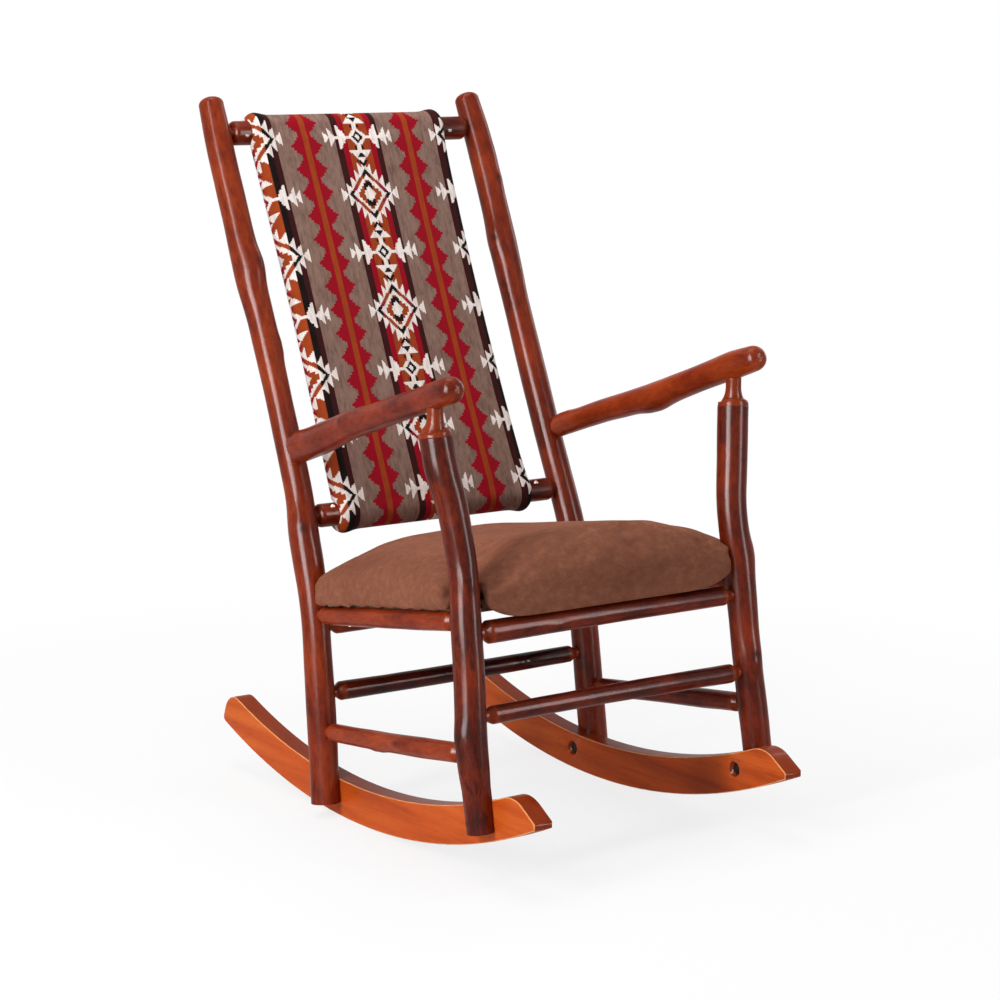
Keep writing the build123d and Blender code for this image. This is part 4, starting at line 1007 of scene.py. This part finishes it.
# across: the side edge tucked behind the board, up its edge, over the roll and on to the face
tuck = [(-COVER_TUCK * (1 - k / 5), 0.0, 1.0) for k in range(6)]
tuck += [(0.0, 0.0, 1 - k / 3) for k in range(1, 4)]
roll = [(-(1 - cos(turn)), sin(turn), 0.0) for turn in np.linspace(0, pi / 2, 10)[1:]]
flat_steps = round((2 * half_width - 2 * COVER_EDGE) / STEP_ACROSS)
side = [(x, 0.0, down) for x, up, down in tuck] + [(x * COVER_EDGE, up, down) for x, up, down in roll]
inset = np.array([point[0] for point in side])
raised = np.array([point[1] for point in side])
sunk = np.array([point[2] for point in side])
flat = np.linspace(-half_width + COVER_EDGE, half_width - COVER_EDGE, flat_steps + 1)[1:-1]
sideways = np.concatenate([-half_width - inset, flat, (half_width + inset)[::-1]])
raised = np.concatenate([raised, np.ones(len(flat)), raised[::-1]])
sunk = np.concatenate([sunk, np.zeros(len(flat)), sunk[::-1]])
columns = len(sideways)
waist = COVER_WAIST * (1 - (2 * np.clip(height / panel_height, 0, 1) - 1) ** 2)
squeeze = 1 - waist / half_width
from_edge = half_width - abs(sideways)
corner = np.exp(-((from_edge - 0.014) / 0.016) ** 2) * raised
lift = -thick[:, None] * (1 - raised)[None] - below[:, None] * sunk[None]
lift += COVER_CORNER * wrap[:, None] * corner[None]
crown = COVER_CROWN * on_face[:, None] * (1 - (sideways / half_width) ** 2)[None]
depth = way[:, 0][:, None] + out[:, 0][:, None] * (lift + crown)
tall = way[:, 1][:, None] + out[:, 1][:, None] * (lift + crown)
grid = (panel_middle + (sideways[None] * squeeze[:, None])[..., None] * np.array([1, 0, 0])
        + depth[..., None] * panel_front + tall[..., None] * panel_up)
# the cover's two ends are turned in on to the rails
ends = []
for index, order in ((0, [1.0, 0.7, 0.35]), (-1, [0.35, 0.7, 1.0])):
    inward = -(out[index, 0] * panel_front + out[index, 1] * panel_up)
    left = (thick[index] * raised)[:, None]
    ends.append([grid[index] + inward * left * share for share in order])
grid = np.array(ends[0] + list(grid) + ends[1])
count = len(grid)
corners = np.arange(count * columns).reshape(count, columns)
quads = np.stack([corners[:-1, :-1], corners[:-1, 1:], corners[1:, 1:], corners[1:, :-1]], -1).reshape(-1, 4)
closing = np.stack([corners[:-1, -1], corners[:-1, 0], corners[1:, 0], corners[1:, -1]], -1)
faces = quads.tolist() + closing.tolist()
faces += [corners[0, ::-1].tolist(), corners[-1].tolist()]
mesh = bpy.data.meshes.new("woven_back")
mesh.from_pydata(grid.reshape(-1, 3).tolist(), [], faces)
solid = bmesh.new()
solid.from_mesh(mesh)
bmesh.ops.recalc_face_normals(solid, faces=solid.faces)
solid.to_mesh(mesh)
solid.free()
tread = np.concatenate([[0], np.cumsum(np.full(columns - 1, STEP_ACROSS))])
tread -= tread.mean()
climb = np.arange(count) * STEP_ALONG
across_mm = (tread[:-1] + tread[1:]) / 2 * 1000
along_mm = (climb[:-1] + climb[1:]) / 2 * 1000
numbers = weave(*np.meshgrid(across_mm - MOTIF_SHIFT[0], along_mm - MOTIF_SHIFT[1])).ravel()
numbers = np.concatenate([numbers, np.zeros(len(faces) - len(numbers), int)])
marked(mesh, "yarn", numbers)
cloth = mesh.uv_layers.new(name="cloth")
spots = np.zeros(len(mesh.loops), np.int32)
mesh.loops.foreach_get("vertex_index", spots)
threads = np.stack([tread[spots % columns], climb[spots // columns]], 1)
cloth.uv.foreach_set("vector", threads.astype(np.float32).ravel())
mesh.shade_smooth()
cover = placed("woven_back", mesh)
joins(cover, wool_finish(), "back_cloth", "back_pad")


def waisted(piece, inset):
    """Draws a panel's long edges in to the cover's waist, row by row; the tongues keep their width."""
    sliced(piece.data, [(low_middle + panel_up * panel_height * share, panel_up)
                        for share in np.linspace(0.03, 0.97, 24)])
    points = positions(piece.data)
    share = ((points - low_middle) @ panel_up) / panel_height
    sideways = points[:, 0] - panel_middle[0]
    open_part = (share > 0.025) & (share < 0.975)
    reach = half_width - inset - COVER_WAIST * (1 - (2 * share - 1) ** 2)
    points[open_part, 0] = (panel_middle[0] + np.clip(sideways, -reach, reach))[open_part]
    place_points(piece.data, points)
    crisp(piece.data, 30)


board = merged_copy("back_board", "back_plywood_board")
waisted(board, BOARD_INSET)
joins(board, plywood_finish("back_plywood", panel_front, 0.0045), "plywood", "back_board")
back_cloth = merged_copy("back_lining", "back_dust_cloth")
waisted(back_cloth, LINING_INSET)
joins(back_cloth, cambric, "lining_cloth", "back_lining")
low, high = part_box("back_lining")

# ---- fasteners ------------------------------------------------------------------------------------
# Oiled lag bolts and washers down in the rockers' counterbores, their steel darkened further by painted
# shade, plated flat-headed screws through the rails, and plain wire brads; the varnish ran over the brads and
# dulled them.


def steel_finish(name, bright, dull, smooth):
    material, tree, shader = finish(name, Metallic=1.0)
    place = spot(tree)
    stain = grain(tree, place, (160, 160, 160), detail=4)
    tint(tree, shader, shades(tree, stain, [(0.38, dull), (0.6, bright)]),
         sums(tree, "MULTIPLY_ADD", stain, 0.25, smooth))
    relief(tree, shader, grain(tree, place, (900, 900, 900), seed=2), 0.0001, 0.5)
    return material


plated = steel_finish("plated_steel", (168, 160, 148), (104, 92, 80), 0.25)
# oiled steel made darker still: painted shade of the counterbores
oiled_and_shaded = steel_finish("oiled_steel", (44, 32, 26), (24, 17, 14), 0.4)
dulled = steel_finish("varnished_brad", (82, 44, 32), (40, 24, 18), 0.3)
for steel, nodes in ((plated, ("seat_screws", "back_screws")), (oiled_and_shaded, ("rocker_bolts", "rocker_washers")),
                     (dulled, ("tenon_nails", "foot_nails"))):
    for node in nodes:
        dressed(node, steel)

# ---- studio ---------------------------------------------------------------------------------------
# A plain pale floor and wide soft lamps; the camera stands at the chair's right front.
CAMERA_TURN = 35.0           # degrees round the chair
CAMERA_RISE = 9.87           # degrees above the level
CAMERA_DISTANCE = 4.4178
CAMERA_SHIFT = 0.01563       # it stands this far to its right and down
CAMERA_DROP = 0.02107
CAMERA_AIM = (0, 0.00673, 0.528)
SENSOR_MM = 36
LENS_MM = 97.155
SKY_LIGHT = 0.26             # the white surroundings light the chair by this, and look white themselves
turn, rise = radians(-CAMERA_TURN), radians(CAMERA_RISE)
behind = Vector((sin(turn) * cos(rise), -cos(turn) * cos(rise), sin(rise)))
across = Vector((0, 0, 1)).cross(behind).normalized()
upward = behind.cross(across)
eye = behind * CAMERA_DISTANCE + across * CAMERA_SHIFT + Vector(CAMERA_AIM) - upward * CAMERA_DROP
lens = bpy.data.cameras.new("camera")
lens.sensor_width, lens.lens = SENSOR_MM, LENS_MM
camera = placed("camera", lens)
camera.matrix_world = Matrix([[across[i], upward[i], behind[i], eye[i]] for i in range(3)] + [[0, 0, 0, 1]])
bpy.context.scene.camera = camera


def lamp(name, place, aim, width, height, power, gloss_only=False):
    light = bpy.data.lights.new(name, "AREA")
    light.shape = "RECTANGLE"
    light.size, light.size_y, light.energy = width, height, power
    holder = placed(name, light)
    holder.location = place
    holder.rotation_euler = (Vector(aim) - Vector(place)).to_track_quat("-Z", "Y").to_euler()
    holder.visible_diffuse = not gloss_only


lamp("key_lamp", (-3.0, -0.6, 2.2), (0, 0, 0.6), 0.5, 2.8, 92)
lamp("fill_lamp", (1.2, -3.0, 1.7), (0, 0, 0.6), 0.3, 2.4, 12)
lamp("side_lamp", (2.9, 0.6, 1.8), (0, 0, 0.6), 0.4, 2.4, 26)
lamp("top_lamp", (-0.2, 0.3, 3.2), (0, 0, 0.4), 1.8, 1.8, 48)
# two lamps that only gloss sees, for the long highlights on the poles
lamp("key_sheen", (-2.9, -1.2, 1.4), (0, 0, 1.2), 1.5, 2.2, 380, True)
lamp("fill_sheen", (1.7, -2.9, 1.4), (0, 0, 1.2), 0.7, 2.2, 110, True)

floor_mesh = bpy.data.meshes.new("floor")
floor_mesh.from_pydata([(-30, -30, 0), (30, -30, 0), (30, 30, 0), (-30, 30, 0)], [], [(0, 1, 2, 3)])
floor = placed("floor", floor_mesh)
pale, tree, shader = finish("pale_floor", Roughness=0.8)
shader.inputs["Base Color"].default_value = (0.8, 0.8, 0.8, 1)
glow = wire(tree, "ShaderNodeEmission", {"Color": (1, 1, 1, 1), "Strength": 1.0})
seen = wire(tree, "ShaderNodeLightPath")
reach = wire(tree, "ShaderNodeVectorMath", {0: spot(tree)}, operation="LENGTH")
far = wire(tree, "ShaderNodeMapRange", {"Value": reach.outputs["Value"], "From Min": 0.7, "From Max": 1.8,
                                        "To Min": 0.8, "To Max": 1.0}).outputs[0]
seen = sums(tree, "MAXIMUM", seen.outputs["Is Camera Ray"], seen.outputs["Is Glossy Ray"])
share = times(tree, seen, far)
mixed = wire(tree, "ShaderNodeMixShader", {0: share, 1: shader.outputs[0], 2: glow.outputs[0]})
output = next(node for node in tree.nodes if node.type == "OUTPUT_MATERIAL")
tree.links.new(mixed.outputs[0], output.inputs["Surface"])
floor_mesh.materials.append(pale)

world = bpy.data.worlds.new("studio")
bpy.context.scene.world = world
world.use_nodes = True
sky = world.node_tree
back = next(node for node in sky.nodes if node.type == "BACKGROUND")
seen = wire(sky, "ShaderNodeLightPath")
bright = sums(sky, "MAXIMUM", seen.outputs["Is Camera Ray"], seen.outputs["Is Glossy Ray"])
bright = sums(sky, "MAXIMUM", bright, seen.outputs["Is Transmission Ray"])
strength = sums(sky, "MULTIPLY_ADD", bright, 1 - SKY_LIGHT, SKY_LIGHT)
sky.links.new(strength, back.inputs["Strength"])
back.inputs["Color"].default_value = (1, 1, 1, 1)
bpy.context.scene.view_settings.view_transform = "Standard"
